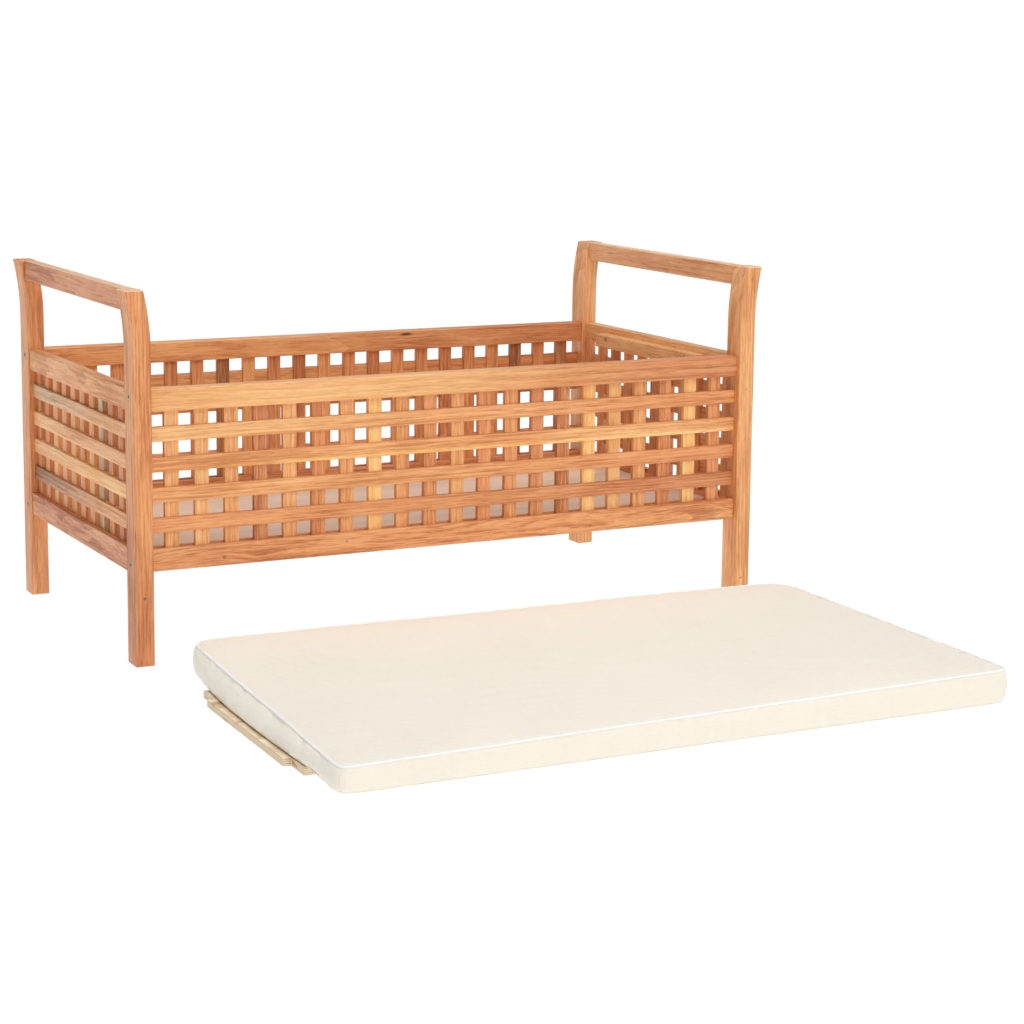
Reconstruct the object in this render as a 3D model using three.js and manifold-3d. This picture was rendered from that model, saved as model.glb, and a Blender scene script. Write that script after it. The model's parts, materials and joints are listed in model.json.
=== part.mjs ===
// Slatted hardwood storage bench: four legs with flared tops, two arm rails, an open box of
// lattice panels with a bottom board, and a loose seat (board and cushion) lying on the floor
// in front of it. Millimetres, +Z up. The bench is laid out about its own centre on the floor,
// with +Y to its back, and the whole arrangement is centred at the end.
import * as THREE from 'three';
import { mergeVertices } from 'three/addons/utils/BufferGeometryUtils.js';
import Module from 'manifold-3d';

const wasm = await Module();
wasm.setup();

// ---- Driving dimensions -------------------------------------------------------------------
const fit = 0.3; // gap left between faces that touch
const reach = 1; // how far a cutting tool starts outside the face it cuts
const length = 912; // across the outer faces of the straight legs
const depth = 490;
const height = 477;
const leg = { x: 24, y: 35, flare: 9, flareStart: 397, steps: 9, edge: 1.2 };
const arm = { thick: 16.8, high: 27.3, centre: 450, edge: 1.5 };
const opening = { low: 148.5, high: 323.5 }; // the slatted height between the rails
const longRail = { thick: 24, high: 28.5, recess: 7 };
const endTopRail = { thick: 16, high: 28.5, recess: 2 };
const endLowRail = { thick: 16, high: 31.5, recess: 2 };
const railEdge = 1;
const slat = { wide: 19, thick: 8, inset: 4.5, lap: 4, upright: 7.5, tongue: 6, rows: 4 };
const longUprights = 21;
const endUprights = 11;
const tenon = { thick: 8, long: 10, shoulder: 7 };
const seatBatten = { thick: 18, high: 20, long: 290, drop: 9, screw: 115 };
const floorBatten = { thick: 15, high: 10, long: 770, screw: 300 };
const floorBoard = { thick: 6, x: 874, y: 419 };
const bolt = { shank: 3, head: 4.25, headHigh: 5, long: 60, edge: 9, socket: 2.2, socketDeep: 3 };
const barrel = { radius: 5, long: 13, fromEnd: 30 };
const screw = { head: 3.5, sink: 2, shank: 1.75, long: 30, tip: 4 };
const seatBoard = { long: 872, deep: 346, thick: 9, tab: 264, notch: 9, x: -10, y: -604, turn: -2.2 };
const cushion = { long: 876, deep: 512, thick: 42, corner: 26, edge: 9, wall: 1.2,
  zip: 620, slit: 2, x: 8, y: -585, turn: -1 };

const legInnerX = length / 2 - leg.x; // faces of the legs towards the middle of the box
const legInnerY = depth / 2 - leg.y;
const roundSteps = 16;
const screwSteps = 12;
const cornerSteps = 5;
const edgeSteps = 2;

// ---- Materials ----------------------------------------------------------------------------
const material = (color, roughness, metalness = 0) =>
  new THREE.MeshStandardMaterial({ color, roughness, metalness });
const legWood = () => material('#c98452', 0.55);
const railWood = () => material('#cf8d58', 0.55);
const slatWood = () => material('#dba469', 0.58);
const innerWood = () => material('#a8704a', 0.65);
const panelWood = () => material('#c9ab96', 0.7);
const plyWood = () => material('#dcc19b', 0.7);
const steel = () => material('#a9a79c', 0.35, 0.9);
const canvas = () => material('#f3ebdc', 0.92);
const foam = () => material('#f2e7b8', 0.95);

// ---- Solid helpers ------------------------------------------------------------------------
function toSolid(geometry) {
  const bare = (geometry.index ? geometry.toNonIndexed() : geometry).clone();
  bare.deleteAttribute('normal');
  bare.deleteAttribute('uv');
  const merged = mergeVertices(bare, 1e-4);
  const vertProperties = new Float32Array(merged.attributes.position.array);
  const triVerts = new Uint32Array(merged.index.array);
  return new wasm.Manifold(new wasm.Mesh({ numProp: 3, vertProperties, triVerts }));
}

function toGeometry(solid) {
  const mesh = solid.getMesh();
  const geometry = new THREE.BufferGeometry();
  geometry.setAttribute('position', new THREE.BufferAttribute(mesh.vertProperties, 3));
  geometry.setIndex(new THREE.BufferAttribute(mesh.triVerts, 1));
  geometry.computeVertexNormals();
  return geometry;
}

const join = (parts) => parts.map(toSolid).reduce((all, next) => all.add(next));
const cut = (body, tools) => tools.map(toSolid).reduce((rest, tool) => rest.subtract(tool), body);

// A box given by its low and high corners.
function block(low, high) {
  const size = high.map((value, i) => value - low[i]);
  const geometry = new THREE.BoxGeometry(...size);
  return geometry.translate(...low.map((value, i) => value + size[i] / 2));
}

// A turned piece about its local +Z, given as [radius, z] points from axis to axis.
function turned(points, steps = roundSteps) {
  const profile = points.map(([radius, z]) => new THREE.Vector2(radius, z));
  return new THREE.LatheGeometry(profile, steps).rotateX(Math.PI / 2);
}

const rod = (radius, low, high) => turned([[0, low], [radius, low], [radius, high], [0, high]]);

const alongX = (geometry, sign = 1) => geometry.rotateY((sign * Math.PI) / 2);
const alongY = (geometry, sign = 1) => geometry.rotateX((-sign * Math.PI) / 2);

function rectangle(low, high, corner) {
  const shape = new THREE.Shape();
  shape.moveTo(low[0] + corner, low[1]);
  shape.lineTo(high[0] - corner, low[1]);
  shape.lineTo(high[0], low[1] + corner);
  shape.lineTo(high[0], high[1] - corner);
  shape.lineTo(high[0] - corner, high[1]);
  shape.lineTo(low[0] + corner, high[1]);
  shape.lineTo(low[0], high[1] - corner);
  shape.lineTo(low[0], low[1] + corner);
  shape.closePath();
  return shape;
}

// A bar along X: its section is drawn in Y and Z.
function barAlongX(section, long) {
  const geometry = new THREE.ExtrudeGeometry(section, { depth: long, bevelEnabled: false });
  return geometry.rotateX(Math.PI / 2).rotateZ(Math.PI / 2).translate(-long / 2, 0, 0);
}

// ---- Fasteners ----------------------------------------------------------------------------
// The bolt's head face is at its origin and it points along local +Z.
function boltGeometry() {
  const { shank, head, headHigh, long, socket, socketDeep } = bolt;
  return turned([[0, socketDeep], [socket, socketDeep], [socket, 0], [head, 0], [head, headHigh],
    [shank, headHigh], [shank, long], [0, long]]);
}

const boltHole = (start, end) => rod(bolt.shank + fit, start, end);
const headHole = () => rod(bolt.head + fit, -reach, bolt.headHigh + fit);

// The barrel nut stands along local +Z and the bolt's thread crosses it along X.
function barrelGeometry() {
  const body = rod(barrel.radius, -barrel.long / 2, barrel.long / 2);
  const half = barrel.radius + reach;
  const thread = alongX(rod(bolt.shank + fit, -half, half));
  return toGeometry(cut(toSolid(body), [thread]));
}

// The screw's head face is at its origin and it points along local +Z.
function screwGeometry() {
  const { head, sink, shank, long, tip } = screw;
  return turned([[0, 0], [head, 0], [shank, sink], [shank, long - tip], [0, long]], screwSteps);
}

// The tool for a screw's hole, driven along -Y from a face at y.
function screwHole(x, y, z) {
  const { head, sink, shank, long, tip } = screw;
  const tool = turned([[0, -reach], [head + fit, -reach], [head + fit, 0], [shank + fit, sink],
    [shank + fit, long - tip], [0, long + fit]], screwSteps);
  return alongY(tool, -1).translate(x, y, z);
}

// ---- Legs and arms ------------------------------------------------------------------------
// Sideways offset of the leg's flare at a height.
const flareHigh = height - leg.flareStart;
const flareAt = (z) => leg.flare * (Math.max(z - leg.flareStart, 0) / flareHigh) ** 2;

// Local frame: foot centre at the origin. side is the leg's end of the bench (-1 or 1 in X),
// back is -1 for a front leg and 1 for a back leg.
function legGeometry(side, back) {
  const heights = Array.from({ length: leg.steps + 1 },
    (_, i) => leg.flareStart + (flareHigh * i) / leg.steps);
  const outer = heights.map((z) => [side * (leg.x / 2 + flareAt(z)), z]);
  const inner = heights.map((z) => [side * (-leg.x / 2 + flareAt(z)), z]);
  const points = [[side * (-leg.x / 2), 0], ...inner, ...outer.reverse(), [side * (leg.x / 2), 0]];
  const shape = new THREE.Shape(points.map(([x, z]) => new THREE.Vector2(x, z)));
  const geometry = new THREE.ExtrudeGeometry(shape, {
    depth: leg.y - 2 * leg.edge,
    bevelEnabled: true,
    bevelSegments: 1,
    bevelSize: leg.edge,
    bevelThickness: leg.edge,
    bevelOffset: -leg.edge,
  });
  geometry.rotateX(Math.PI / 2).translate(0, leg.y / 2 - leg.edge, 0);

  const boltY = back * (leg.y / 2 - longRail.recess - longRail.thick / 2);
  const tools = [];
  for (const z of boltHeights()) {
    const start = [side * (leg.x / 2), boltY, z];
    tools.push(alongX(headHole(), -side).translate(...start));
    tools.push(alongX(boltHole(-reach, leg.x + reach), -side).translate(...start));
  }
  const inward = -back * (leg.y / 2);
  const socketX = (centre) => side * (centre - (length / 2 - leg.x / 2));
  const sockets = [
    [socketX(arm.centre), height - arm.high, height],
    [socketX(endRailCentre(endTopRail)), opening.high, opening.high + endTopRail.high],
    [socketX(endRailCentre(endLowRail)), opening.low - endLowRail.high, opening.low],
  ];
  for (const [x, low, high] of sockets) {
    const near = inward - back * reach;
    const far = inward + back * (tenon.long + fit);
    const half = tenon.thick / 2 + fit;
    tools.push(block(
      [x - half, Math.min(near, far), low + tenon.shoulder - fit],
      [x + half, Math.max(near, far), high - tenon.shoulder + fit],
    ));
  }
  return toGeometry(cut(toSolid(geometry), tools));
}

const boltHeights = () => [opening.low - longRail.high + bolt.edge,
  opening.high + longRail.high - bolt.edge];
const endRailCentre = (rail) => length / 2 - rail.recess - rail.thick / 2;

// A bar between two legs of one end, along local X, with a tenon at each tip.
function tenonedBar(section, low, high, centreY, tools = []) {
  const long = 2 * legInnerY - 2 * fit;
  const bar = barAlongX(section, long);
  const half = tenon.thick / 2;
  const tip = long / 2 + tenon.long;
  const tongue = block([-tip, centreY - half, low + tenon.shoulder],
    [tip, centreY + half, high - tenon.shoulder]);
  return toGeometry(cut(join([bar, tongue]), tools));
}

// ---- Rails: local +Y points into the box, the outer face is at Y 0 --------------------------
// The section of a rail, with the groove that takes the uprights on its lower or upper edge.
function railSection(rail, low, grooveOnTop) {
  const high = low + rail.high;
  const near = slat.inset + slat.lap - fit;
  const far = Math.min(slat.inset + slat.lap + slat.upright + fit, rail.thick);
  const edge = railEdge;
  const openBehind = far > rail.thick - edge;
  const deep = slat.tongue + fit;
  const points = [[edge, 0], [rail.thick - edge, 0], [rail.thick, edge]];
  if (openBehind) {
    points.push([rail.thick, rail.high - deep], [near, rail.high - deep], [near, rail.high]);
  } else {
    points.push([rail.thick, rail.high - edge], [rail.thick - edge, rail.high], [far, rail.high],
      [far, rail.high - deep], [near, rail.high - deep], [near, rail.high]);
  }
  points.push([edge, rail.high], [0, rail.high - edge], [0, edge]);
  const placed = points.map(([y, z]) => new THREE.Vector2(y, grooveOnTop ? low + z : high - z));
  return new THREE.Shape(placed);
}

// A long rail (front or back) with its bolt and barrel nut holes at both ends.
function longRailGeometry(top) {
  const long = 2 * legInnerX - 2 * fit;
  const low = top ? opening.high : opening.low - longRail.high;
  const z = boltHeights()[top ? 1 : 0];
  const middle = longRail.thick / 2;
  const nutY = middle - barrel.long / 2 - fit;
  const tools = [];
  for (const side of [-1, 1]) {
    const hole = boltHole(-reach, bolt.long - leg.x + 2 * reach);
    tools.push(alongX(hole, -side).translate((side * long) / 2, middle, z));
    const nutX = side * (legInnerX - barrel.fromEnd);
    tools.push(alongY(rod(barrel.radius + fit, 0, longRail.thick)).translate(nutX, nutY, z));
  }
  if (!top) {
    tools.push(...floorScrewPlaces.map((x) => screwHole(x, floorScrewY, floorScrewZ)));
  }
  return toGeometry(cut(toSolid(barAlongX(railSection(longRail, low, !top), long)), tools));
}

function endRailGeometry(top) {
  const rail = top ? endTopRail : endLowRail;
  const low = top ? opening.high : opening.low - rail.high;
  const tools = top ? seatScrewPlaces.map((x) => screwHole(x, seatScrewY, seatScrewZ)) : [];
  return tenonedBar(railSection(rail, low, !top), low, low + rail.high, rail.thick / 2, tools);
}

// ---- Lattice panels -----------------------------------------------------------------------
// Slats run along local X on the outside, uprights behind them, half lapped where they cross.
function latticeGeometry(long, places) {
  const gapZ = (opening.high - opening.low - slat.rows * slat.wide) / (slat.rows + 1);
  const parts = [];
  for (let row = 0; row < slat.rows; row += 1) {
    const z = opening.low + gapZ + row * (gapZ + slat.wide);
    parts.push(block([-long / 2, slat.inset, z], [long / 2, slat.inset + slat.thick, z + slat.wide]));
  }
  const near = slat.inset + slat.lap;
  for (const x of places) {
    parts.push(block([x - slat.wide / 2, near, opening.low - slat.tongue],
      [x + slat.wide / 2, near + slat.upright, opening.high + slat.tongue]));
  }
  return toGeometry(join(parts));
}

const spread = (count, pitch) => Array.from({ length: count }, (_, i) => (i - (count - 1) / 2) * pitch);

function longLattice() {
  const span = 2 * legInnerX;
  const pitch = slat.wide + (span - longUprights * slat.wide) / (longUprights + 1);
  return latticeGeometry(span - 2 * fit, spread(longUprights, pitch));
}

function endLattice() {
  const span = 2 * legInnerY;
  const pitch = (span - 2 * fit - slat.wide) / (endUprights - 1);
  return latticeGeometry(span - 2 * fit, spread(endUprights, pitch));
}

// ---- Battens, boards and cushion ------------------------------------------------------------
const seatScrewPlaces = [-seatBatten.screw, seatBatten.screw];
const seatBattenLow = opening.high + endTopRail.high - seatBatten.drop - seatBatten.high;
const seatScrewY = endTopRail.thick + fit + seatBatten.thick;
const seatScrewZ = seatBattenLow + (2 * seatBatten.high) / 3;
const floorScrewPlaces = [-floorBatten.screw, 0, floorBatten.screw];
const floorBattenLow = opening.low - longRail.high;
const floorScrewY = longRail.thick + fit + floorBatten.thick;
const floorScrewZ = floorBattenLow + floorBatten.high / 2;

// Batten along local X, screwed to a rail's inner face; its own inner face, where the screw
// heads lie, looks along +Y.
function battenGeometry(batten, face, low, places, z) {
  const section = rectangle([face - batten.thick, low], [face, low + batten.high], railEdge);
  const tools = places.map((x) => screwHole(x, face, z));
  return toGeometry(cut(toSolid(barAlongX(section, batten.long)), tools));
}

// The seat board's outline has a tab at each end, between notched corners.
function seatBoardGeometry() {
  const { long, deep, thick, tab, notch } = seatBoard;
  const corner = [[long / 2, tab / 2], [long / 2 - notch, tab / 2], [long / 2 - notch, deep / 2]];
  const right = [...corner].reverse().map(([x, y]) => [x, -y]).concat(corner);
  const left = right.map(([x, y]) => [-x, -y]);
  const shape = new THREE.Shape([...right, ...left].map(([x, y]) => new THREE.Vector2(x, y)));
  return new THREE.ExtrudeGeometry(shape, { depth: thick, bevelEnabled: false });
}

// A rounded slab standing on Z 0, shrunk on every side by inset.
function slab(inset) {
  const x = cushion.long / 2 - inset;
  const y = cushion.deep / 2 - inset;
  const corner = cushion.corner - inset;
  const shape = new THREE.Shape();
  shape.absarc(x - corner, y - corner, corner, 0, Math.PI / 2);
  shape.absarc(corner - x, y - corner, corner, Math.PI / 2, Math.PI);
  shape.absarc(corner - x, corner - y, corner, Math.PI, 1.5 * Math.PI);
  shape.absarc(x - corner, corner - y, corner, 1.5 * Math.PI, 2 * Math.PI);
  const edge = cushion.edge - inset;
  return new THREE.ExtrudeGeometry(shape, {
    depth: cushion.thick - 2 * inset - 2 * edge,
    curveSegments: cornerSteps,
    bevelEnabled: true,
    bevelSegments: edgeSteps,
    bevelSize: edge,
    bevelThickness: edge,
    bevelOffset: -edge,
  }).translate(0, 0, inset + edge);
}

// The cover is a thin shell with a slit along its back edge, closed by its zip.
function coverGeometry() {
  const { deep, thick, wall, zip, slit } = cushion;
  const opened = block([-zip / 2, deep / 2 - 3 * wall, (thick - slit) / 2],
    [zip / 2, deep / 2 + reach, (thick + slit) / 2]);
  return toGeometry(cut(toSolid(slab(0)), [slab(wall), opened]));
}

// ---- Assembly -----------------------------------------------------------------------------
const bench = new THREE.Group();

function add(parent, name, geometry, look, position = [0, 0, 0], turn = 0) {
  const mesh = new THREE.Mesh(geometry, look);
  mesh.name = name;
  mesh.position.set(...position);
  mesh.rotation.z = turn;
  parent.add(mesh);
  return mesh;
}

// Legs and arms
for (const [end, side] of [['left', -1], ['right', 1]]) {
  for (const [face, back] of [['front', -1], ['back', 1]]) {
    const place = [side * (length - leg.x) / 2, back * (depth - leg.y) / 2, 0];
    add(bench, `leg_${face}_${end}`, legGeometry(side, back), legWood(), place);
  }
  const section = rectangle([-arm.thick / 2, height - arm.high], [arm.thick / 2, height], arm.edge);
  const bar = tenonedBar(section, height - arm.high, height, 0);
  add(bench, `arm_rail_${end}`, bar, railWood(), [side * arm.centre, 0, 0], Math.PI / 2);
}

// Front and back panels, bolted between the legs
for (const [face, back] of [['front', -1], ['back', 1]]) {
  const panel = new THREE.Group();
  panel.position.y = back * (depth / 2 - longRail.recess);
  panel.rotation.z = back > 0 ? Math.PI : 0;
  bench.add(panel);
  add(panel, `top_rail_${face}`, longRailGeometry(true), railWood());
  add(panel, `bottom_rail_${face}`, longRailGeometry(false), railWood());
  add(panel, `lattice_${face}`, longLattice(), slatWood());
  const batten = battenGeometry(floorBatten, floorScrewY, floorBattenLow, floorScrewPlaces,
    floorScrewZ);
  add(panel, `floor_batten_${face}`, batten, innerWood());
  floorScrewPlaces.forEach((x, i) => {
    const geometry = alongY(screwGeometry(), -1);
    const at = [x, floorScrewY, floorScrewZ];
    add(panel, `floor_batten_screw_${face}_${i + 1}`, geometry, steel(), at);
  });
  for (const [level, z] of [['low', boltHeights()[0]], ['top', boltHeights()[1]]]) {
    for (const [hand, side] of [['a', -1], ['b', 1]]) {
      const at = [side * (length / 2), longRail.thick / 2, z];
      add(panel, `bolt_${face}_${level}_${hand}`, alongX(boltGeometry(), -side), steel(), at);
      const nutAt = [side * (legInnerX - barrel.fromEnd), longRail.thick / 2, z];
      add(panel, `barrel_nut_${face}_${level}_${hand}`, alongY(barrelGeometry()), steel(), nutAt);
    }
  }
}

// End panels, tenoned into the legs
for (const [end, side] of [['left', -1], ['right', 1]]) {
  const panel = new THREE.Group();
  panel.position.x = side * (length / 2 - endTopRail.recess);
  panel.rotation.z = (side * Math.PI) / 2;
  bench.add(panel);
  add(panel, `end_top_rail_${end}`, endRailGeometry(true), railWood());
  add(panel, `end_bottom_rail_${end}`, endRailGeometry(false), railWood());
  add(panel, `lattice_${end}`, endLattice(), slatWood());
  const batten = battenGeometry(seatBatten, seatScrewY, seatBattenLow, seatScrewPlaces,
    seatScrewZ);
  add(panel, `seat_batten_${end}`, batten, innerWood());
  seatScrewPlaces.forEach((x, i) => {
    const geometry = alongY(screwGeometry(), -1);
    const at = [x, seatScrewY, seatScrewZ];
    add(panel, `seat_batten_screw_${end}_${i + 1}`, geometry, steel(), at);
  });
}

// Bottom board on its battens
const floorZ = floorBattenLow + floorBatten.high + fit;
const floorSheet = block([-floorBoard.x / 2, -floorBoard.y / 2, floorZ],
  [floorBoard.x / 2, floorBoard.y / 2, floorZ + floorBoard.thick]);
add(bench, 'bottom_board', floorSheet, panelWood());

// The loose seat, lying on the floor in front of the bench
const radians = (degrees) => (degrees * Math.PI) / 180;
const boardPlace = [seatBoard.x, seatBoard.y, 0];
add(bench, 'seat_board', seatBoardGeometry(), plyWood(), boardPlace, radians(seatBoard.turn));
const cushionPlace = [cushion.x, cushion.y, seatBoard.thick + fit];
add(bench, 'cushion_cover', coverGeometry(), canvas(), cushionPlace, radians(cushion.turn));
add(bench, 'cushion_foam', slab(cushion.wall + fit), foam(), cushionPlace, radians(cushion.turn));

// Origin: the middle of the whole arrangement, on the floor
const extent = new THREE.Box3().setFromObject(bench, true);
const middle = extent.getCenter(new THREE.Vector3());
bench.position.set(-middle.x, -middle.y, -extent.min.z);
bench.updateMatrixWorld(true);

const storageBench = new THREE.Group();
storageBench.add(bench);

export default storageBench;
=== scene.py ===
"""Slatted hardwood storage bench, with its loose seat lying on the floor in front of it.

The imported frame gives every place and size. Legs, rails, battens, boards and fasteners keep
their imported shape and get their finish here. The four lattices are built again stick by stick,
with the uprights notched over the slats. The cushion is sewn up from its panels, filled by a
cloth simulation, and gets its piping, seams and zip. All lengths are metres.
"""

from __future__ import annotations

import json
import logging
import math
from collections.abc import Callable, Sequence
from dataclasses import dataclass, field
from enum import Enum

import bmesh
import bpy
from mathutils import Matrix, Vector, kdtree, noise

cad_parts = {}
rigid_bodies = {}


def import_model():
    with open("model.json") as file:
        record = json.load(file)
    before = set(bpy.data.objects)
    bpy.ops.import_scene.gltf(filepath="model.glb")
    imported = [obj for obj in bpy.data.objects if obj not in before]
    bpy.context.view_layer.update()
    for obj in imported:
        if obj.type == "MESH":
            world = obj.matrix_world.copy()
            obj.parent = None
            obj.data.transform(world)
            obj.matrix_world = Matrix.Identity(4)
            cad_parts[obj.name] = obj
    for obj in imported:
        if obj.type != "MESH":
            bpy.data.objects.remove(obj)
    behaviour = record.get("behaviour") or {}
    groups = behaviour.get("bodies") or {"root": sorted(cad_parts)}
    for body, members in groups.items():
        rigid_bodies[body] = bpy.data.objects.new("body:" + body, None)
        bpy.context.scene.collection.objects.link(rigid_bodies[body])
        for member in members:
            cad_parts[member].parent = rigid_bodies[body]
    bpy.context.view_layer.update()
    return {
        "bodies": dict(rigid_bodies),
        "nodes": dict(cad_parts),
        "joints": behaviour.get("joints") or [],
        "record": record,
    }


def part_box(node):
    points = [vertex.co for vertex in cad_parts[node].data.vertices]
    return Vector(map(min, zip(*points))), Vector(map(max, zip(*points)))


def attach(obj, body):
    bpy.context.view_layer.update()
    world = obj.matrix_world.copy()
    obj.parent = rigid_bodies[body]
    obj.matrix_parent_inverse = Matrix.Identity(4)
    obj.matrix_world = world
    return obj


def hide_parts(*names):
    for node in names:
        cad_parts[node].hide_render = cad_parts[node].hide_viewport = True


LOG = logging.getLogger("storage_bench")
Point = tuple[float, float, float]
Colour = tuple[float, float, float]
Piece = bpy.types.Object
Socket = bpy.types.NodeSocket


# ---- Workshop: modelling by hand ------------------------------------------------------------


def pick(piece: Piece) -> None:
    """Makes one piece the only selected object, and the active one.

    Args:
        piece: The piece.
    """
    bpy.ops.object.select_all(action="DESELECT")
    piece.select_set(True)
    bpy.context.view_layer.objects.active = piece


def block(name: str, low: Sequence[float], high: Sequence[float]) -> Piece:
    """Adds a box between two corners, with its place in its mesh.

    Args:
        name: The new piece's name.
        low: Its lowest corner.
        high: Its highest corner.

    Returns:
        The new piece.
    """
    bpy.ops.object.select_all(action="DESELECT")
    low, high = Vector(low), Vector(high)
    bpy.ops.mesh.primitive_cube_add(size=1, location=(low + high) / 2, scale=high - low)
    piece = bpy.context.active_object
    piece.name = piece.data.name = name
    bpy.ops.object.transform_apply(location=True, rotation=True, scale=True)
    return piece


def select_edges(piece: Piece, wanted: Callable[[Vector, Vector], bool]) -> None:
    """Opens a piece in edit mode with only some of its edges selected.

    Args:
        piece: The piece to open.
        wanted: Tells from an edge's two ends whether it is selected.
    """
    pick(piece)
    bpy.ops.object.mode_set(mode="EDIT")
    bpy.ops.mesh.select_mode(type="EDGE")
    bpy.ops.mesh.select_all(action="DESELECT")
    shape = bmesh.from_edit_mesh(piece.data)
    for edge in shape.edges:
        edge.select_set(wanted(edge.verts[0].co, edge.verts[1].co))
    bmesh.update_edit_mesh(piece.data)


def ease_arrises(piece: Piece, axis: int, radius: float, segments: int = 2) -> None:
    """Rounds the edges of a piece that run along one axis.

    Args:
        piece: The piece to round.
        axis: 0, 1 or 2 for X, Y or Z.
        radius: How far the rounding reaches.
        segments: How many faces the rounding has.
    """
    across = [i for i in range(3) if i != axis]
    select_edges(piece, lambda a, b: all(abs(a[i] - b[i]) < 1e-6 for i in across))
    bpy.ops.mesh.bevel(offset=radius, segments=segments, profile=0.5, affect="EDGES")
    bpy.ops.object.mode_set(mode="OBJECT")


def apply_modifier(piece: Piece, kind: str, **settings: object) -> None:
    """Gives a piece a modifier with these settings and applies it.

    Args:
        piece: The piece to change.
        kind: The modifier's type.
        **settings: Values for the modifier's own settings.
    """
    modifier = piece.modifiers.new(kind.lower(), kind)
    for name, value in settings.items():
        setattr(modifier, name, value)
    pick(piece)
    bpy.ops.object.modifier_apply(modifier=modifier.name)


def cut(piece: Piece, tool: Piece) -> None:
    """Cuts a tool's shape out of a piece and throws the tool away."""
    apply_modifier(piece, "BOOLEAN", operation="DIFFERENCE", solver="EXACT", object=tool)
    bpy.data.objects.remove(tool)


def shade(piece: Piece, degrees: float = 35) -> None:
    """Shades a piece smooth, except across edges sharper than an angle."""
    pick(piece)
    bpy.ops.object.shade_smooth_by_angle(angle=math.radians(degrees))


def copy_of(pattern: Piece, name: str, place: Matrix) -> Piece:
    """Copies a piece with its own mesh, moved and turned by a matrix.

    Args:
        pattern: The piece to copy.
        name: The copy's name.
        place: The move and turn that go into the copy's mesh.

    Returns:
        The copy.
    """
    piece = pattern.copy()
    piece.data = pattern.data.copy()
    piece.name = piece.data.name = name
    piece.data.transform(place)
    bpy.context.scene.collection.objects.link(piece)
    return piece


def tube(name: str, path: Sequence[Vector], radius: float, closed: bool) -> Piece:
    """Makes a round cord of even thickness as a mesh.

    Args:
        name: The cord's name.
        path: The points that its middle follows.
        radius: Half its thickness.
        closed: Whether its end joins its start.

    Returns:
        The cord.
    """
    curve = bpy.data.curves.new(name, "CURVE")
    curve.dimensions = "3D"
    curve.bevel_depth = radius
    curve.bevel_resolution = 2
    curve.use_fill_caps = not closed
    spline = curve.splines.new("POLY")
    spline.points.add(len(path) - 1)
    for point, at in zip(spline.points, path, strict=True):
        point.co = (*at, 1)
    spline.use_cyclic_u = closed
    piece = bpy.data.objects.new(name, curve)
    bpy.context.scene.collection.objects.link(piece)
    pick(piece)
    bpy.ops.object.convert(target="MESH")
    shade(piece, 60)
    return piece


def seam_tree(seam: Sequence[Vector]) -> kdtree.KDTree:
    """Sorts the points of a seam so that the nearest one is found quickly.

    Args:
        seam: The points of the seam.

    Returns:
        The sorted points, each with its number in the seam.
    """
    tree = kdtree.KDTree(len(seam))
    for index, spot in enumerate(seam):
        tree.insert(spot, index)
    tree.balance()
    return tree


def coat(piece: Piece, material: bpy.types.Material) -> None:
    """Gives a piece one material all over, through its object's slots.

    Args:
        piece: The piece to coat.
        material: Its material.
    """
    if not piece.data.materials:
        piece.data.materials.append(material)
    for slot in piece.material_slots:
        slot.material = material


def fit_piece(piece: Piece, body: str, stands_for: str = "") -> None:
    """Puts a finished new piece on its body.

    Args:
        piece: The piece, in place.
        body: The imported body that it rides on.
        stands_for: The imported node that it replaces, if any.
    """
    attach(piece, body)
    if stands_for:
        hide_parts(stands_for)
    LOG.info("%s rides on %s", piece.name, body)


# ---- Finishing room: materials --------------------------------------------------------------


def linear(colour: Colour) -> tuple[float, float, float, float]:
    """Turns a display colour of 0 to 255 into the linear colour that a shader takes."""
    steps = (c / 255 for c in colour)
    return (*(s / 12.92 if s <= 0.04045 else ((s + 0.055) / 1.055) ** 2.4 for s in steps), 1.0)


# How far the wave pattern's phase runs in a metre at scale 1, in radians.
WAVE_PHASE = 20


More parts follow.
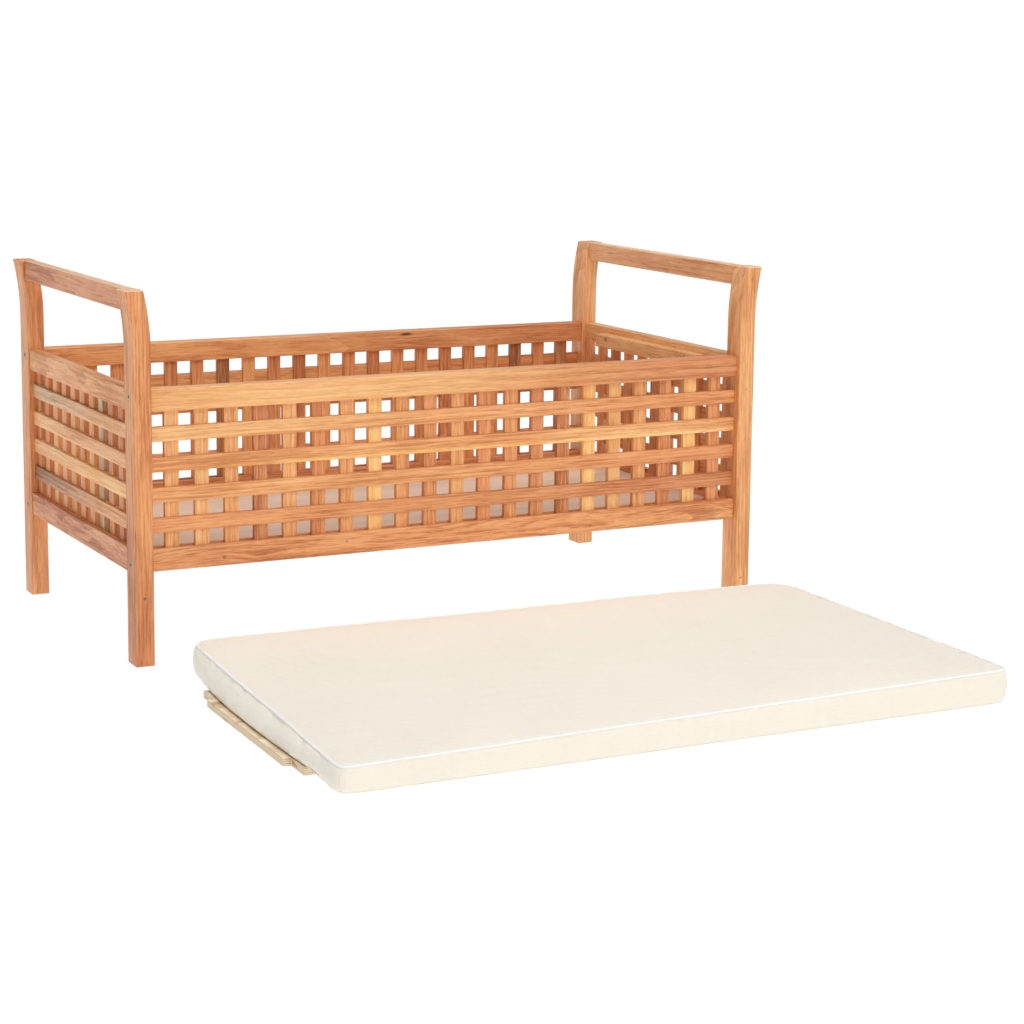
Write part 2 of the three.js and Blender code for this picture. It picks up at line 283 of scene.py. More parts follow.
class Recipe:
    """A material being mixed: one Principled shader and the patterns that drive it."""

    def __init__(self, name: str, roughness: float, **sockets: float) -> None:
        """Starts a material.

        Args:
            name: The material's name.
            roughness: The shader's roughness where no pattern drives it.
            **sockets: Values for other inputs of the shader, spaces written as underscores.
        """
        self.material = bpy.data.materials.new(name)
        self.material.use_nodes = True
        self.tree = self.material.node_tree
        self.surface = self.tree.nodes["Principled BSDF"]
        self.surface.inputs["Roughness"].default_value = roughness
        for socket, value in sockets.items():
            self.surface.inputs[socket.replace("_", " ")].default_value = value
        self.spot = self.add("ShaderNodeTexCoord").outputs["Object"]

    def add(self, kind: str, **settings: object) -> bpy.types.Node:
        """Adds a node and gives it its settings.

        Args:
            kind: The node's type.
            **settings: Values for the node's own settings.

        Returns:
            The node.
        """
        node = self.tree.nodes.new(kind)
        for name, value in settings.items():
            setattr(node, name, value)
        return node

    def feed(self, socket: Socket, value: object) -> None:
        """Links another node's output to an input, or sets the input to a plain value.

        Args:
            socket: The input.
            value: Another node's output, or a plain value.
        """
        if isinstance(value, Socket):
            self.tree.links.new(value, socket)
        else:
            socket.default_value = value

    def moved(
        self,
        vector: Socket,
        shift: Point = (0, 0, 0),
        turn: Point = (0, 0, 0),
        stretch: Point = (1, 1, 1),
    ) -> Socket:
        """Scales, then turns, then shifts a pattern's coordinates.

        Args:
            vector: The coordinates.
            shift: How far they are shifted, in metres.
            turn: How far they are turned about each axis.
            stretch: How much they are scaled along each axis.

        Returns:
            The new coordinates.
        """
        node = self.add("ShaderNodeMapping")
        self.feed(node.inputs["Vector"], vector)
        node.inputs["Location"].default_value = shift
        node.inputs["Rotation"].default_value = turn
        node.inputs["Scale"].default_value = stretch
        return node.outputs["Vector"]

    def cloud(
        self, vector: Socket, scale: float = 1, detail: float = 2, hue: bool = False
    ) -> Socket:
        """A soft random pattern, as a number or, with hue, as a vector of three.

        Args:
            vector: The pattern's coordinates.
            scale: How often it repeats in a metre.
            detail: How many finer layers it has.
            hue: Whether it is a vector.

        Returns:
            The pattern, from 0 to 1.
        """
        node = self.add("ShaderNodeTexNoise")
        self.feed(node.inputs["Vector"], vector)
        node.inputs["Scale"].default_value = scale
        node.inputs["Detail"].default_value = detail
        node.inputs["Roughness"].default_value = 0.6
        return node.outputs["Color" if hue else "Fac"]

    def wave(
        self,
        vector: Socket,
        gap: float,
        rings: bool = False,
        axis: str = "X",
        profile: str = "SIN",
        wobble: float = 0,
    ) -> Socket:
        """Even bands across an axis, or rings round it, a given gap apart.

        Args:
            vector: The pattern's coordinates.
            gap: The distance from band to band.
            rings: Whether the bands are rings.
            axis: The axis that they cross or go round.
            profile: The shape of one band.
            wobble: How much they are disturbed.

        Returns:
            The pattern, from 0 to 1.
        """
        node = self.add(
            "ShaderNodeTexWave", wave_type="RINGS" if rings else "BANDS", wave_profile=profile
        )
        setattr(node, "rings_direction" if rings else "bands_direction", axis)
        self.feed(node.inputs["Vector"], vector)
        node.inputs["Scale"].default_value = math.tau / WAVE_PHASE / gap
        node.inputs["Distortion"].default_value = wobble
        node.inputs["Detail"].default_value = 2
        node.inputs["Detail Scale"].default_value = 1.5
        return node.outputs["Fac"]

    def add_up(self, start: float, *terms: tuple[Socket, float]) -> Socket:
        """Adds up patterns, each by its share, round a middle value of a half each.

        Args:
            start: The sum where every term is at a half.
            *terms: The patterns, each with its share.

        Returns:
            The sum.
        """
        total: object = start - sum(share for _, share in terms) / 2
        for pattern, share in terms:
            node = self.add("ShaderNodeMath", operation="MULTIPLY_ADD")
            self.feed(node.inputs[0], pattern)
            node.inputs[1].default_value = share
            self.feed(node.inputs[2], total)
            total = node.outputs[0]
        return total

    def sort(
        self, value: Socket, low: float, high: float, ends: tuple[float, float] = (0, 1)
    ) -> Socket:
        """Maps values between low and high smoothly onto the two ends, and clamps the rest.

        Args:
            value: The values to map.
            low: The value that goes to the first end.
            high: The value that goes to the second end.
            ends: The two ends.

        Returns:
            The mapped values.
        """
        node = self.add("ShaderNodeMapRange", interpolation_type="SMOOTHSTEP")
        self.feed(node.inputs["Value"], value)
        node.inputs["From Min"].default_value = low
        node.inputs["From Max"].default_value = high
        node.inputs["To Min"].default_value = ends[0]
        node.inputs["To Max"].default_value = ends[1]
        return node.outputs["Result"]

    def combine(self, kind: str, first: Socket, second: object) -> Socket:
        """Puts two numbers together by a Math operation.

        Args:
            kind: The operation.
            first: The first number.
            second: The second number, linked or plain.

        Returns:
            The result.
        """
        node = self.add("ShaderNodeMath", operation=kind)
        self.feed(node.inputs[0], first)
        self.feed(node.inputs[1], second)
        return node.outputs[0]

    def ramp(self, value: Socket, stops: Sequence[tuple[float, Colour]]) -> Socket:
        """Colours a pattern through display colours at given places from 0 to 1.

        Args:
            value: The pattern.
            stops: Places from 0 to 1, each with its display colour.

        Returns:
            The colour.
        """
        node = self.add("ShaderNodeValToRGB")
        self.feed(node.inputs["Fac"], value)
        points = node.color_ramp.elements
        while len(points) < len(stops):
            points.new(0.5)
        for point, (place, colour) in zip(points, stops, strict=True):
            point.position, point.color = place, linear(colour)
        return node.outputs["Color"]

    def mix(self, share: object, first: object, second: object, kind: str = "MIX") -> Socket:
        """Mixes two colours by a share from 0 to 1.

        Args:
            share: How much of the second colour goes in.
            first: The first colour, linked or plain.
            second: The second colour, linked or plain.
            kind: How the second goes over the first.

        Returns:
            The mixed colour.
        """
        node = self.add("ShaderNodeMix", data_type="RGBA", blend_type=kind)
        self.feed(node.inputs["Factor"], share)
        self.feed(node.inputs[6], first)
        self.feed(node.inputs[7], second)
        return node.outputs[2]

    def relief(self, height: Socket, strength: float, depth: float) -> None:
        """Drives the shader's normal from a pattern's height.

        Args:
            height: The pattern.
            strength: How strongly it shows, from 0 to 1.
            depth: The depth of its full range.
        """
        node = self.add("ShaderNodeBump")
        self.feed(node.inputs["Height"], height)
        node.inputs["Strength"].default_value = strength
        node.inputs["Distance"].default_value = depth
        self.feed(self.surface.inputs["Normal"], node.outputs["Normal"])

    def part(self, vector: Socket, axis: str) -> Socket:
        """One coordinate of a vector.

        Args:
            vector: The vector.
            axis: X, Y or Z.

        Returns:
            The coordinate.
        """
        node = self.add("ShaderNodeSeparateXYZ")
        self.feed(node.inputs[0], vector)
        return node.outputs[axis]


class Grain(Enum):
    """The way a board's grain runs, as the turn that lays it along X."""

    ALONG_X = (0.0, 0.0, 0.0)
    ALONG_Y = (0.0, 0.0, -math.pi / 2)
    ALONG_Z = (0.0, math.pi / 2, 0.0)


class Tone(Enum):
    """Wood colours found side by side in the bench, each as dark, body and light display colour."""

    SAP = ((240, 172, 98), (252, 194, 124), (255, 210, 146))
    STRAW = ((222, 156, 98), (242, 182, 123), (252, 200, 144))
    HONEY = ((208, 136, 84), (236, 168, 110), (248, 188, 132))
    AMBER = ((196, 120, 72), (229, 154, 100), (242, 174, 120))
    RUSSET = ((178, 104, 62), (214, 139, 90), (229, 161, 111))
    WALNUT = ((130, 80, 48), (176, 114, 72), (202, 142, 98))
    ASH = ((160, 120, 88), (206, 160, 120), (228, 186, 146))


TONE_LETTERS = {
    "y": Tone.SAP,
    "s": Tone.STRAW,
    "h": Tone.HONEY,
    "a": Tone.AMBER,
    "r": Tone.RUSSET,
    "w": Tone.WALNUT,
    "g": Tone.ASH,
}


# How often each pattern of the wood repeats in a metre: along the grain, then across it.
DRIFT = (3.5, 18, 18)
STREAKS = (9, 300, 300)
FIBRES = (40, 800, 800)
PATCHES = (5, 26, 26)
PORES = (55, 1050, 1050)
HUES = (3, 40, 40)

# How strongly each of them colours the wood.
RING_SHARE = 0.25
STREAK_SHARE = 1.15
FIBRE_SHARE = 0.85
PATCH_SHARE = 1.0
PORE_SHARE = 0.24

# Colours and tints that go over a tone.
PORE_BROWN: Colour = (140, 84, 50)
KNOT_BROWN: Colour = (92, 56, 34)
# The next colour is a painted highlight: laid over top faces, it stands in for the sheen of light
# on them.
PAINTED_SHEEN: Colour = (252, 212, 174)
REDDER = (1.0, 0.93, 0.84, 1)
YELLOWER = (1.02, 1.05, 0.98, 1)

# How far below a top face the painted sheen reaches, how softly it ends, and how pale it is.
PAINTED_SHEEN_DEPTH = 0.0012
PAINTED_SHEEN_SOFT = 0.0006
PAINTED_SHEEN_SHARE = 0.7


@dataclass(frozen=True)
class Knot:
    """A small dark knot: where it is, how big, how dark from 0 to 1, and how squeezed."""

    at: Point
    radius: float
    depth: float = 0.8
    squeeze: Point = (1, 1, 1)


@dataclass(frozen=True)
class SapEdge:
    """A stripe of pale sapwood along the lower edge of a slat.

    Attributes:
        top: The height that it reaches.
        soft: Half the height over which it fades out.
        start: Where along the slat it begins to show.
        fade: How far along the slat it takes to show fully.
        rough: How far the streaks of the wood push its upper edge about.
    """

    top: float
    soft: float = 0.0012
    start: float = -0.45
    fade: float = 0.3
    rough: float = 0.003


@dataclass(frozen=True)
class Timber:
    """A piece of oiled hardwood.

    Attributes:
        name: The material's name.
        tone: Its colours.
        grain: The way its grain runs.
        far_tone: The colours that it turns to towards its far end, if they change.
        fade: Where along the grain that change starts and ends.
        ring_gap: The distance between growth rings.
        wander: How far the rings wander from straight.
        pith: Where the tree's middle lies across the grain.
        tilt: How far the grain leans from the board's length, in degrees.
        knots: Its knots.
        sap_edge: Its sapwood stripe, if it has one.
        contrast: How strong its figure is.
        pale_above: The height above which its top is painted paler as a painted sheen, if it is.
    """

    name: str
    tone: Tone
    grain: Grain
    far_tone: Tone | None = None
    fade: tuple[float, float] = (-0.3, 0.4)
    ring_gap: float = 0.0052
    wander: float = 0.012
    pith: tuple[float, float] = (0.07, 0.11)
    tilt: float = 1.0
    knots: tuple[Knot, ...] = ()
    sap_edge: SapEdge | None = None
    contrast: float = 1.0
    pale_above: float | None = None

    def stops(self, tone: Tone) -> list[tuple[float, Colour]]:
        """The colour ramp of one tone."""
        dark, body, light = tone.value
        return [(0.2, dark), (0.5, body), (0.8, light)]

    def material(self) -> bpy.types.Material:
        """Mixes the material: rings, streaks, fibres and pores along the grain.

        Returns:
            The material.
        """
        mix = Recipe(self.name, 0.45, Specular_IOR_Level=0.5)
        along = mix.moved(mix.spot, turn=self.grain.value)
        drift = mix.cloud(mix.moved(along, stretch=DRIFT), detail=2, hue=True)
        bent = mix.add("ShaderNodeVectorMath", operation="MULTIPLY_ADD")
        mix.feed(bent.inputs[0], drift)
        bent.inputs[1].default_value = (0, self.wander, self.wander)
        mix.feed(bent.inputs[2], along)
        lean = math.radians(self.tilt)
        heart = mix.moved(bent.outputs[0], shift=(0, *self.pith), turn=(0, lean, lean / 2))
        rings = mix.wave(heart, self.ring_gap, rings=True, profile="SAW", wobble=0.6)
        streaks = mix.cloud(mix.moved(bent.outputs[0], stretch=STREAKS), detail=4)
        fibres = mix.cloud(mix.moved(along, stretch=FIBRES), detail=2)
        patches = mix.cloud(mix.moved(along, shift=(*self.pith, 0.3), stretch=PATCHES))
        pores = mix.sort(mix.cloud(mix.moved(along, stretch=PORES), detail=1), 0.57, 0.68)
        level = mix.add_up(
            0.5,
            (rings, RING_SHARE * self.contrast),
            (streaks, STREAK_SHARE * self.contrast),
            (fibres, FIBRE_SHARE * self.contrast),
            (patches, PATCH_SHARE * self.contrast),
        )
        colour = mix.ramp(level, self.stops(self.tone))
        if self.far_tone:
            place = mix.add_up(0.5, (mix.part(along, "X"), 1), (patches, 0.3))
            share = mix.sort(place, *self.fade)
            colour = mix.mix(share, colour, mix.ramp(level, self.stops(self.far_tone)))
        if self.sap_edge:
            colour = self.add_sap(mix, colour, level, streaks)
        hue = mix.cloud(mix.moved(along, shift=(0.7, *self.pith), stretch=HUES))
        warm = mix.mix(1.0, colour, REDDER, "MULTIPLY")
        cool = mix.mix(1.0, colour, YELLOWER, "MULTIPLY")
        colour = mix.mix(mix.sort(hue, 0.3, 0.7), warm, cool)
        # Painted sheen: near the top face the wood is painted paler, standing in for the light on
        # top faces.
        if self.pale_above:
            height = mix.part(mix.spot, "Z")
            full = self.pale_above + PAINTED_SHEEN_SOFT
            top = mix.sort(height, self.pale_above, full, (0, PAINTED_SHEEN_SHARE))
            colour = mix.mix(top, colour, linear(PAINTED_SHEEN))
        shown = mix.combine("MULTIPLY", pores, PORE_SHARE * self.contrast)
        colour = mix.mix(shown, colour, linear(PORE_BROWN))
        for knot in self.knots:
            colour = self.add_knot(mix, colour, knot, streaks)
        mix.feed(mix.surface.inputs["Base Color"], colour)
        mix.feed(mix.surface.inputs["Roughness"], mix.sort(level, 0.1, 0.9, (0.52, 0.36)))
        mix.relief(mix.add_up(0.5, (fibres, 0.7), (pores, -0.6), (rings, 0.15)), 0.35, 0.0004)
        return mix.material

    def add_sap(
        self,
        mix: Recipe,
        colour: Socket,
        level: Socket,
        streaks: Socket,
    ) -> Socket:
        """Lays the sapwood stripe over a colour and returns the new colour.

        Args:
            mix: The material being mixed.
            colour: The colour so far.
            level: The figure of the wood.
            streaks: Its streaks.

        Returns:
            The new colour.
        """
        edge = self.sap_edge
        height = mix.add_up(0.5, (mix.part(mix.spot, "Z"), 1), (streaks, edge.rough))
        line = edge.top - edge.rough / 2
        below = mix.sort(height, line - edge.soft, line + edge.soft, (1, 0))
        full = edge.start + edge.fade
        beyond = mix.sort(mix.part(mix.spot, "X"), edge.start, full, (0.25, 1))
        share = mix.combine("MULTIPLY", below, beyond)
        return mix.mix(share, colour, mix.ramp(level, self.stops(Tone.SAP)))

    def add_knot(
        self,
        mix: Recipe,
        colour: Socket,
        knot: Knot,
        streaks: Socket,
    ) -> Socket:
        """Darkens a colour round a knot and returns the new colour.

        Args:
            mix: The material being mixed.
            colour: The colour so far.
            knot: The knot.
            streaks: The streaks of the wood.

        Returns:
            The new colour.
        """
        away = mix.add("ShaderNodeVectorMath", operation="DISTANCE")
        mix.feed(away.inputs[0], mix.moved(mix.spot, stretch=knot.squeeze))
        away.inputs[1].default_value = [a * b for a, b in zip(knot.at, knot.squeeze, strict=True)]
        reach = mix.add_up(0.5, (away.outputs["Value"], 1), (streaks, knot.radius * 1.6))
        share = mix.sort(reach, knot.radius * 0.2, knot.radius * 1.3, (knot.depth, 0))
        return mix.mix(share, colour, linear(KNOT_BROWN))


@dataclass(frozen=True)
class Plywood:
    """Pale plywood: veneer on its faces and the crossed layers showing on its edges.

    Attributes:
        name: The material's name.
        low: The height of its lower face.
        thick: Its thickness.
        layers: How many veneers it is glued up from.
        fray: How far the layers' edges wander.
        stain: How dark its brown streaks are, from 0 to 1.
    """

    name: str
    low: float
    thick: float
    layers: int = 7
    fray: float = 0.0012
    stain: float = 0.62

    def material(self) -> bpy.types.Material:
        """Mixes the material: layers by height, and grain with a brown streak or two.

        Returns:
            The material.
        """
        mix = Recipe(self.name, 0.68, Specular_IOR_Level=0.25)
        height = mix.part(mix.spot, "Z")
        frayed = mix.cloud(mix.moved(mix.spot, stretch=(120, 120, 900)), detail=3)
        level = mix.add_up(0.5, (height, 1), (frayed, self.fray))
        veneer_thick = self.thick / self.layers
        layer = mix.add("ShaderNodeMath", operation="PINGPONG")
        mix.feed(layer.inputs[0], mix.combine("ADD", level, -self.low))
        layer.inputs[1].default_value = veneer_thick
        crossed = mix.sort(layer.outputs[0], 0.35 * veneer_thick, 0.65 * veneer_thick)
        fibres = mix.cloud(mix.moved(mix.spot, stretch=(20, 420, 420)), detail=4)
        edge = mix.ramp(
            mix.add_up(0.5, (crossed, 0.5), (fibres, 0.5)),
            [(0.2, (214, 184, 146)), (0.8, (247, 231, 204))],
        )
        streaks = mix.cloud(mix.moved(mix.spot, stretch=(4, 60, 60)), detail=5)
        veneer = mix.ramp(
            mix.add_up(0.5, (fibres, 0.4), (streaks, 1.1)),
            [(0.22, (216, 190, 154)), (0.5, (238, 219, 188)), (0.75, (248, 234, 210))],
        )
        faces = mix.add("ShaderNodeNewGeometry")
        upward = mix.combine("ABSOLUTE", mix.part(faces.outputs["Normal"], "Z"), 0)
        colour = mix.mix(mix.sort(upward, 0.4, 0.6), edge, veneer)
        # Darker brown streaks, laid at random over the board.
        streak_cloud = mix.cloud(mix.moved(mix.spot, stretch=(4, 48, 130)), detail=3)
        share = mix.combine("MULTIPLY", mix.sort(streak_cloud, 0.53, 0.68), self.stain)
        colour = mix.mix(share, colour, linear((164, 118, 80)))
        mix.feed(mix.surface.inputs["Base Color"], colour)
        mix.relief(mix.add_up(0.5, (fibres, 0.6), (crossed, 0.2)), 0.3, 0.0004)
        return mix.material


@dataclass(frozen=True)
class PanelBoard:
    """The thin rosy board that closes the box below."""

    name: str = "panel_board"

    def material(self) -> bpy.types.Material:
        """Mixes the material: a rotary-cut veneer with wide, faint figure.

        Returns:
            The material.
        """
        mix = Recipe(self.name, 0.62, Specular_IOR_Level=0.3)
        bent = mix.moved(mix.spot, stretch=(3, 16, 16))
        figure = mix.cloud(bent, detail=5)
        fibres = mix.cloud(mix.moved(mix.spot, stretch=(30, 600, 600)), detail=3)
        colour = mix.ramp(
            mix.add_up(0.5, (figure, 0.9), (fibres, 0.5)),
            [(0.2, (206, 176, 152)), (0.5, (228, 200, 177)), (0.8, (240, 216, 196))],
        )
        mix.feed(mix.surface.inputs["Base Color"], colour)
        mix.relief(fibres, 0.2, 0.0003)
        return mix.material


@dataclass(frozen=True)
class Steel:
    """Dull zinc-plated steel with fine scratches."""

    name: str = "zinc_steel"

    def material(self) -> bpy.types.Material:
        """Mixes the material.

        Returns:
            The material.
        """
        mix = Recipe(self.name, 0.4, Metallic=1.0)
        bloom = mix.cloud(mix.spot, 260, 3)
        scratch = mix.cloud(mix.moved(mix.spot, stretch=(200, 2600, 900)), detail=2)
        colour = mix.ramp(bloom, [(0.3, (150, 142, 118)), (0.7, (190, 184, 160))])
        mix.feed(mix.surface.inputs["Base Color"], colour)
        mix.feed(mix.surface.inputs["Roughness"], mix.sort(scratch, 0.3, 0.7, (0.3, 0.5)))
        mix.relief(scratch, 0.15, 0.0001)
        return mix.material


@dataclass(frozen=True)
class Canvas:
    """Cream cotton canvas in plain weave.

    Attributes:
        name: The material's name.
        body: Its display colour.
        thread: The distance between threads.
        slub: How much the threads differ from each other.
    """

    name: str
    body: Colour = (249, 242, 228)
    thread: float = 0.0011
    slub: float = 1.0

    def material(self) -> bpy.types.Material:
        """Mixes the material: crossing threads with slubs, and broad creases in the cloth.

        Returns:
            The material.
        """
        mix = Recipe(
            self.name, 0.85, Specular_IOR_Level=0.2, Sheen_Weight=0.25, Sheen_Roughness=0.5
        )
        warp = mix.cloud(mix.spot, 90, 2, hue=True)
        bent = mix.add("ShaderNodeVectorMath", operation="MULTIPLY_ADD")
        mix.feed(bent.inputs[0], warp)
        bent.inputs[1].default_value = (0.0008,) * 3
        mix.feed(bent.inputs[2], mix.spot)
        threads = [mix.wave(bent.outputs[0], self.thread, axis=axis) for axis in "XYZ"]
        weave = mix.combine("MULTIPLY", threads[0], threads[1])
        weave = mix.combine("ADD", weave, threads[2])
        slubs = mix.cloud(mix.moved(mix.spot, stretch=(60, 700, 700)), detail=3)
        cross = mix.cloud(mix.moved(mix.spot, stretch=(700, 60, 700)), detail=3)
        soft = mix.cloud(mix.spot, 9, 3)
        creases = mix.cloud(mix.moved(mix.spot, stretch=(22, 34, 60)), detail=4)
        level = mix.add_up(
            0.5, (weave, 0.05), (slubs, 0.4 * self.slub), (cross, 0.35 * self.slub), (soft, 0.3)
        )
        dark = tuple(c * share for c, share in zip(self.body, (0.965, 0.955, 0.93), strict=True))
        light = tuple(min(c * 1.02, 255) for c in self.body)
        colour = mix.ramp(level, [(0.2, dark), (0.5, self.body), (0.8, light)])
        mix.feed(mix.surface.inputs["Base Color"], colour)
        height = mix.add_up(0.5, (weave, 0.04), (slubs, 0.08), (cross, 0.08), (creases, 0.9))
        mix.relief(height, 0.35, 0.003)
        return mix.material


@dataclass(frozen=True)
class Foam:
    """Open-cell foam."""

    name: str = "cushion_foam_cells"

    def material(self) -> bpy.types.Material:
        """Mixes the material: fine pores in pale yellow.

        Returns:
            The material.
        """
        mix = Recipe(self.name, 0.95, Specular_IOR_Level=0.1)
        cells = mix.add("ShaderNodeTexVoronoi", feature="F1")
        mix.feed(cells.inputs["Vector"], mix.spot)
        cells.inputs["Scale"].default_value = 700
        colour = mix.ramp(
            cells.outputs["Distance"], [(0.1, (196, 180, 128)), (0.5, (240, 228, 180))]
        )
        mix.feed(mix.surface.inputs["Base Color"], colour)
        mix.relief(cells.outputs["Distance"], 0.5, 0.0006)
        return mix.material


# ---- Bench ----------------------------------------------------------------------------------


class Face(Enum):
    """The four lattice panels, each with its turn about Z from a panel facing the front."""

    FRONT = 0.0
    BACK = math.pi
    LEFT = -math.pi / 2
    RIGHT = math.pi / 2

    @property
    def label(self) -> str:
        """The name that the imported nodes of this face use."""
        return self.name.lower()

    @property
    def is_long(self) -> bool:
        """Whether this is the front or the back panel."""
        return self in (Face.FRONT, Face.BACK)


@dataclass
class Lattice:
    """One open panel of slats with uprights notched over them, built stick by stick.

    Attributes:
        face: Which panel it is.
        upright_tones: A letter for each upright's tone, from the left as seen from outside.
        slat_tones: The tone letters of the slats' left and right ends, from the bottom.
        wide: The width of every stick.
        slat_thick: The thickness of a slat.
        inset: How far the slats' outer face lies inside the rails' outer face.
        lap: How deep an upright is let over a slat.
        upright_thick: The thickness of an upright.
        tongue: How far an upright reaches into each rail.
        play: The clearance of a notch.
        end_play: The clearance between the panel and its legs, both ends together.
        sap_row: The row of the front panel whose slat has a stripe of sapwood.
        sap_height: How far up that slat the stripe reaches.
        boards: How many boards the uprights of one tone come from.
        finishes: The timber of each board that is cut already, by tone and number.
    """

    face: Face
    upright_tones: str
    slat_tones: Sequence[str]
    wide: float = 0.019
    slat_thick: float = 0.008
    inset: float = 0.0045
    lap: float = 0.004
    upright_thick: float = 0.0075
    tongue: float = 0.006
    play: float = 0.00005
    end_play: float = 0.0006
    sap_row: int = 2
    sap_height: float = 0.006
    boards: int = 3
    finishes: dict[tuple[Tone, int], bpy.types.Material] = field(default_factory=dict)

    def build(self) -> None:
        """Makes every stick of the panel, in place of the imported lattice."""
        low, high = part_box(f"lattice_{self.face.label}")
        long = (high - low)[0 if self.face.is_long else 1]
        middle = (low + high) / 2
        outer = {
            Face.FRONT: Vector((middle.x, low.y - self.inset, 0)),
            Face.BACK: Vector((middle.x, high.y + self.inset, 0)),
            Face.LEFT: Vector((low.x - self.inset, middle.y, 0)),
            Face.RIGHT: Vector((high.x + self.inset, middle.y, 0)),
        }[self.face]
        place = Matrix.Translation(outer) @ Matrix.Rotation(self.face.value, 4, "Z")
        bottom, top = low.z + self.tongue, high.z - self.tongue
        rows = self.slat_rows(bottom, top)
        self.build_slats(long, rows, place)
        self.build_uprights(long, rows, (low.z, high.z), place)

    def slat_rows(self, bottom: float, top: float) -> list[float]:
        """The lower edge of each slat, evenly spread between the rails.

        Args:
            bottom: The height of the bottom rail's upper edge.
            top: The height of the top rail's lower edge.

        Returns:
            The heights, from the bottom.
        """
        count = len(self.slat_tones)
        gap = (top - bottom - count * self.wide) / (count + 1)
        return [bottom + gap + row * (gap + self.wide) for row in range(count)]

    def build_slats(self, long: float, rows: Sequence[float], place: Matrix) -> None:
        """Makes one slat with eased edges and copies it to every row.

        Args:
            long: The length of a slat.
            rows: The lower edge of each slat.
            place: The panel's place.
        """
        half = long / 2
        inner = self.inset + self.slat_thick
        pattern = block("slat_pattern", (-half, self.inset, 0), (half, inner, self.wide))
        ease_arrises(pattern, 0, 0.0009)
        shade(pattern)
        for row, (low, tones) in enumerate(zip(rows, self.slat_tones, strict=True)):
            name = f"slat_{self.face.label}_{row + 1}"
            slat = copy_of(pattern, name, place @ Matrix.Translation((0, 0, low)))
            coat(slat, self.slat_wood(row, low, tones))
            fit_piece(slat, "bench", f"lattice_{self.face.label}")
        bpy.data.objects.remove(pattern)

    def slat_wood(self, row: int, low: float, tones: str) -> bpy.types.Material:
        """The timber of one slat, turning from its left tone to its right tone.

        Args:
            row: The slat's number from the bottom, from 0.
            low: The height of its lower edge.
            tones: The tone letters of its left and right ends.

        Returns:
            The material.
        """
        grain = Grain.ALONG_X if self.face.is_long else Grain.ALONG_Y
        reverse = self.face in (Face.BACK, Face.LEFT)
        first, last = (TONE_LETTERS[letter] for letter in (tones[::-1] if reverse else tones))
        near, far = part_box(f"lattice_{self.face.label}")
        middle = 0 if self.face.is_long else (near.y + far.y) / 2
        reach = 0.4 if self.face.is_long else 0.2
        has_sap = self.face is Face.FRONT and row == self.sap_row
        return Timber(
            f"slat_{self.face.label}_{row + 1}_wood",
            first,
            grain,
            far_tone=last if last is not first else None,
            fade=(middle - reach, middle + reach),
            pith=(0.05 + 0.031 * row, 0.14 - 0.047 * row),
            ring_gap=0.0042 + 0.0006 * row,
            tilt=0.6 + 0.4 * row,
            sap_edge=SapEdge(low + self.sap_height) if has_sap else None,
        ).material()

    def build_uprights(
        self, long: float, rows: Sequence[float], span: tuple[float, float], place: Matrix
    ) -> None:
        """Makes one upright, notched over the slats, and copies it along the panel.

        Args:
            long: The length of the panel.
            rows: The lower edge of each slat.
            span: The heights of an upright's two ends.
            place: The panel's place.
        """
        near = self.inset + self.lap + self.play
        far = near + self.upright_thick
        half = self.wide / 2
        pattern = block("upright_pattern", (-half, near, span[0]), (half, far, span[1]))
        ease_arrises(pattern, 2, 0.0008)
        notch_end = self.inset + self.slat_thick + self.play
        for low in rows:
            high = low + self.wide + self.play
            start = (-self.wide, -0.01, low - self.play)
            cut(pattern, block("notch", start, (self.wide, notch_end, high)))
        shade(pattern)
        count = len(self.upright_tones)
        for index, letter in enumerate(self.upright_tones):
            at = (index - (count - 1) / 2) * self.pitch(long, count)
            name = f"upright_{self.face.label}_{index + 1:02d}"
            upright = copy_of(pattern, name, place @ Matrix.Translation((at, 0, 0)))
            coat(upright, self.upright_wood(TONE_LETTERS[letter], index))
            fit_piece(upright, "bench", f"lattice_{self.face.label}")
        bpy.data.objects.remove(pattern)

    def pitch(self, long: float, count: int) -> float:
        """The distance between uprights, with a hole at each end of a long panel only.

        Args:
            long: The length of the panel.
            count: The number of uprights.

        Returns:
            The distance from middle to middle.
        """
        if self.face.is_long:
            return self.wide + (long + self.end_play - count * self.wide) / (count + 1)
        return (long - self.wide) / (count - 1)

    def upright_wood(self, tone: Tone, index: int) -> bpy.types.Material:
        """The timber of one upright. Uprights of a tone come from a few boards.

        Args:
            tone: The upright's tone.
            index: Its number from the left, from 0.

        Returns:
            The material.
        """
        board = index % self.boards
        if (tone, board) not in self.finishes:
            self.finishes[tone, board] = Timber(
                f"upright_{self.face.label}_{tone.name.lower()}_{board + 1}_wood",
                tone,
                Grain.ALONG_Z,
                pith=(0.21 + 0.13 * board, 0.4 - 0.17 * board),
                ring_gap=0.0036 + 0.0008 * board,
                tilt=0.7 + 0.9 * board,
            ).material()
        return self.finishes[tone, board]


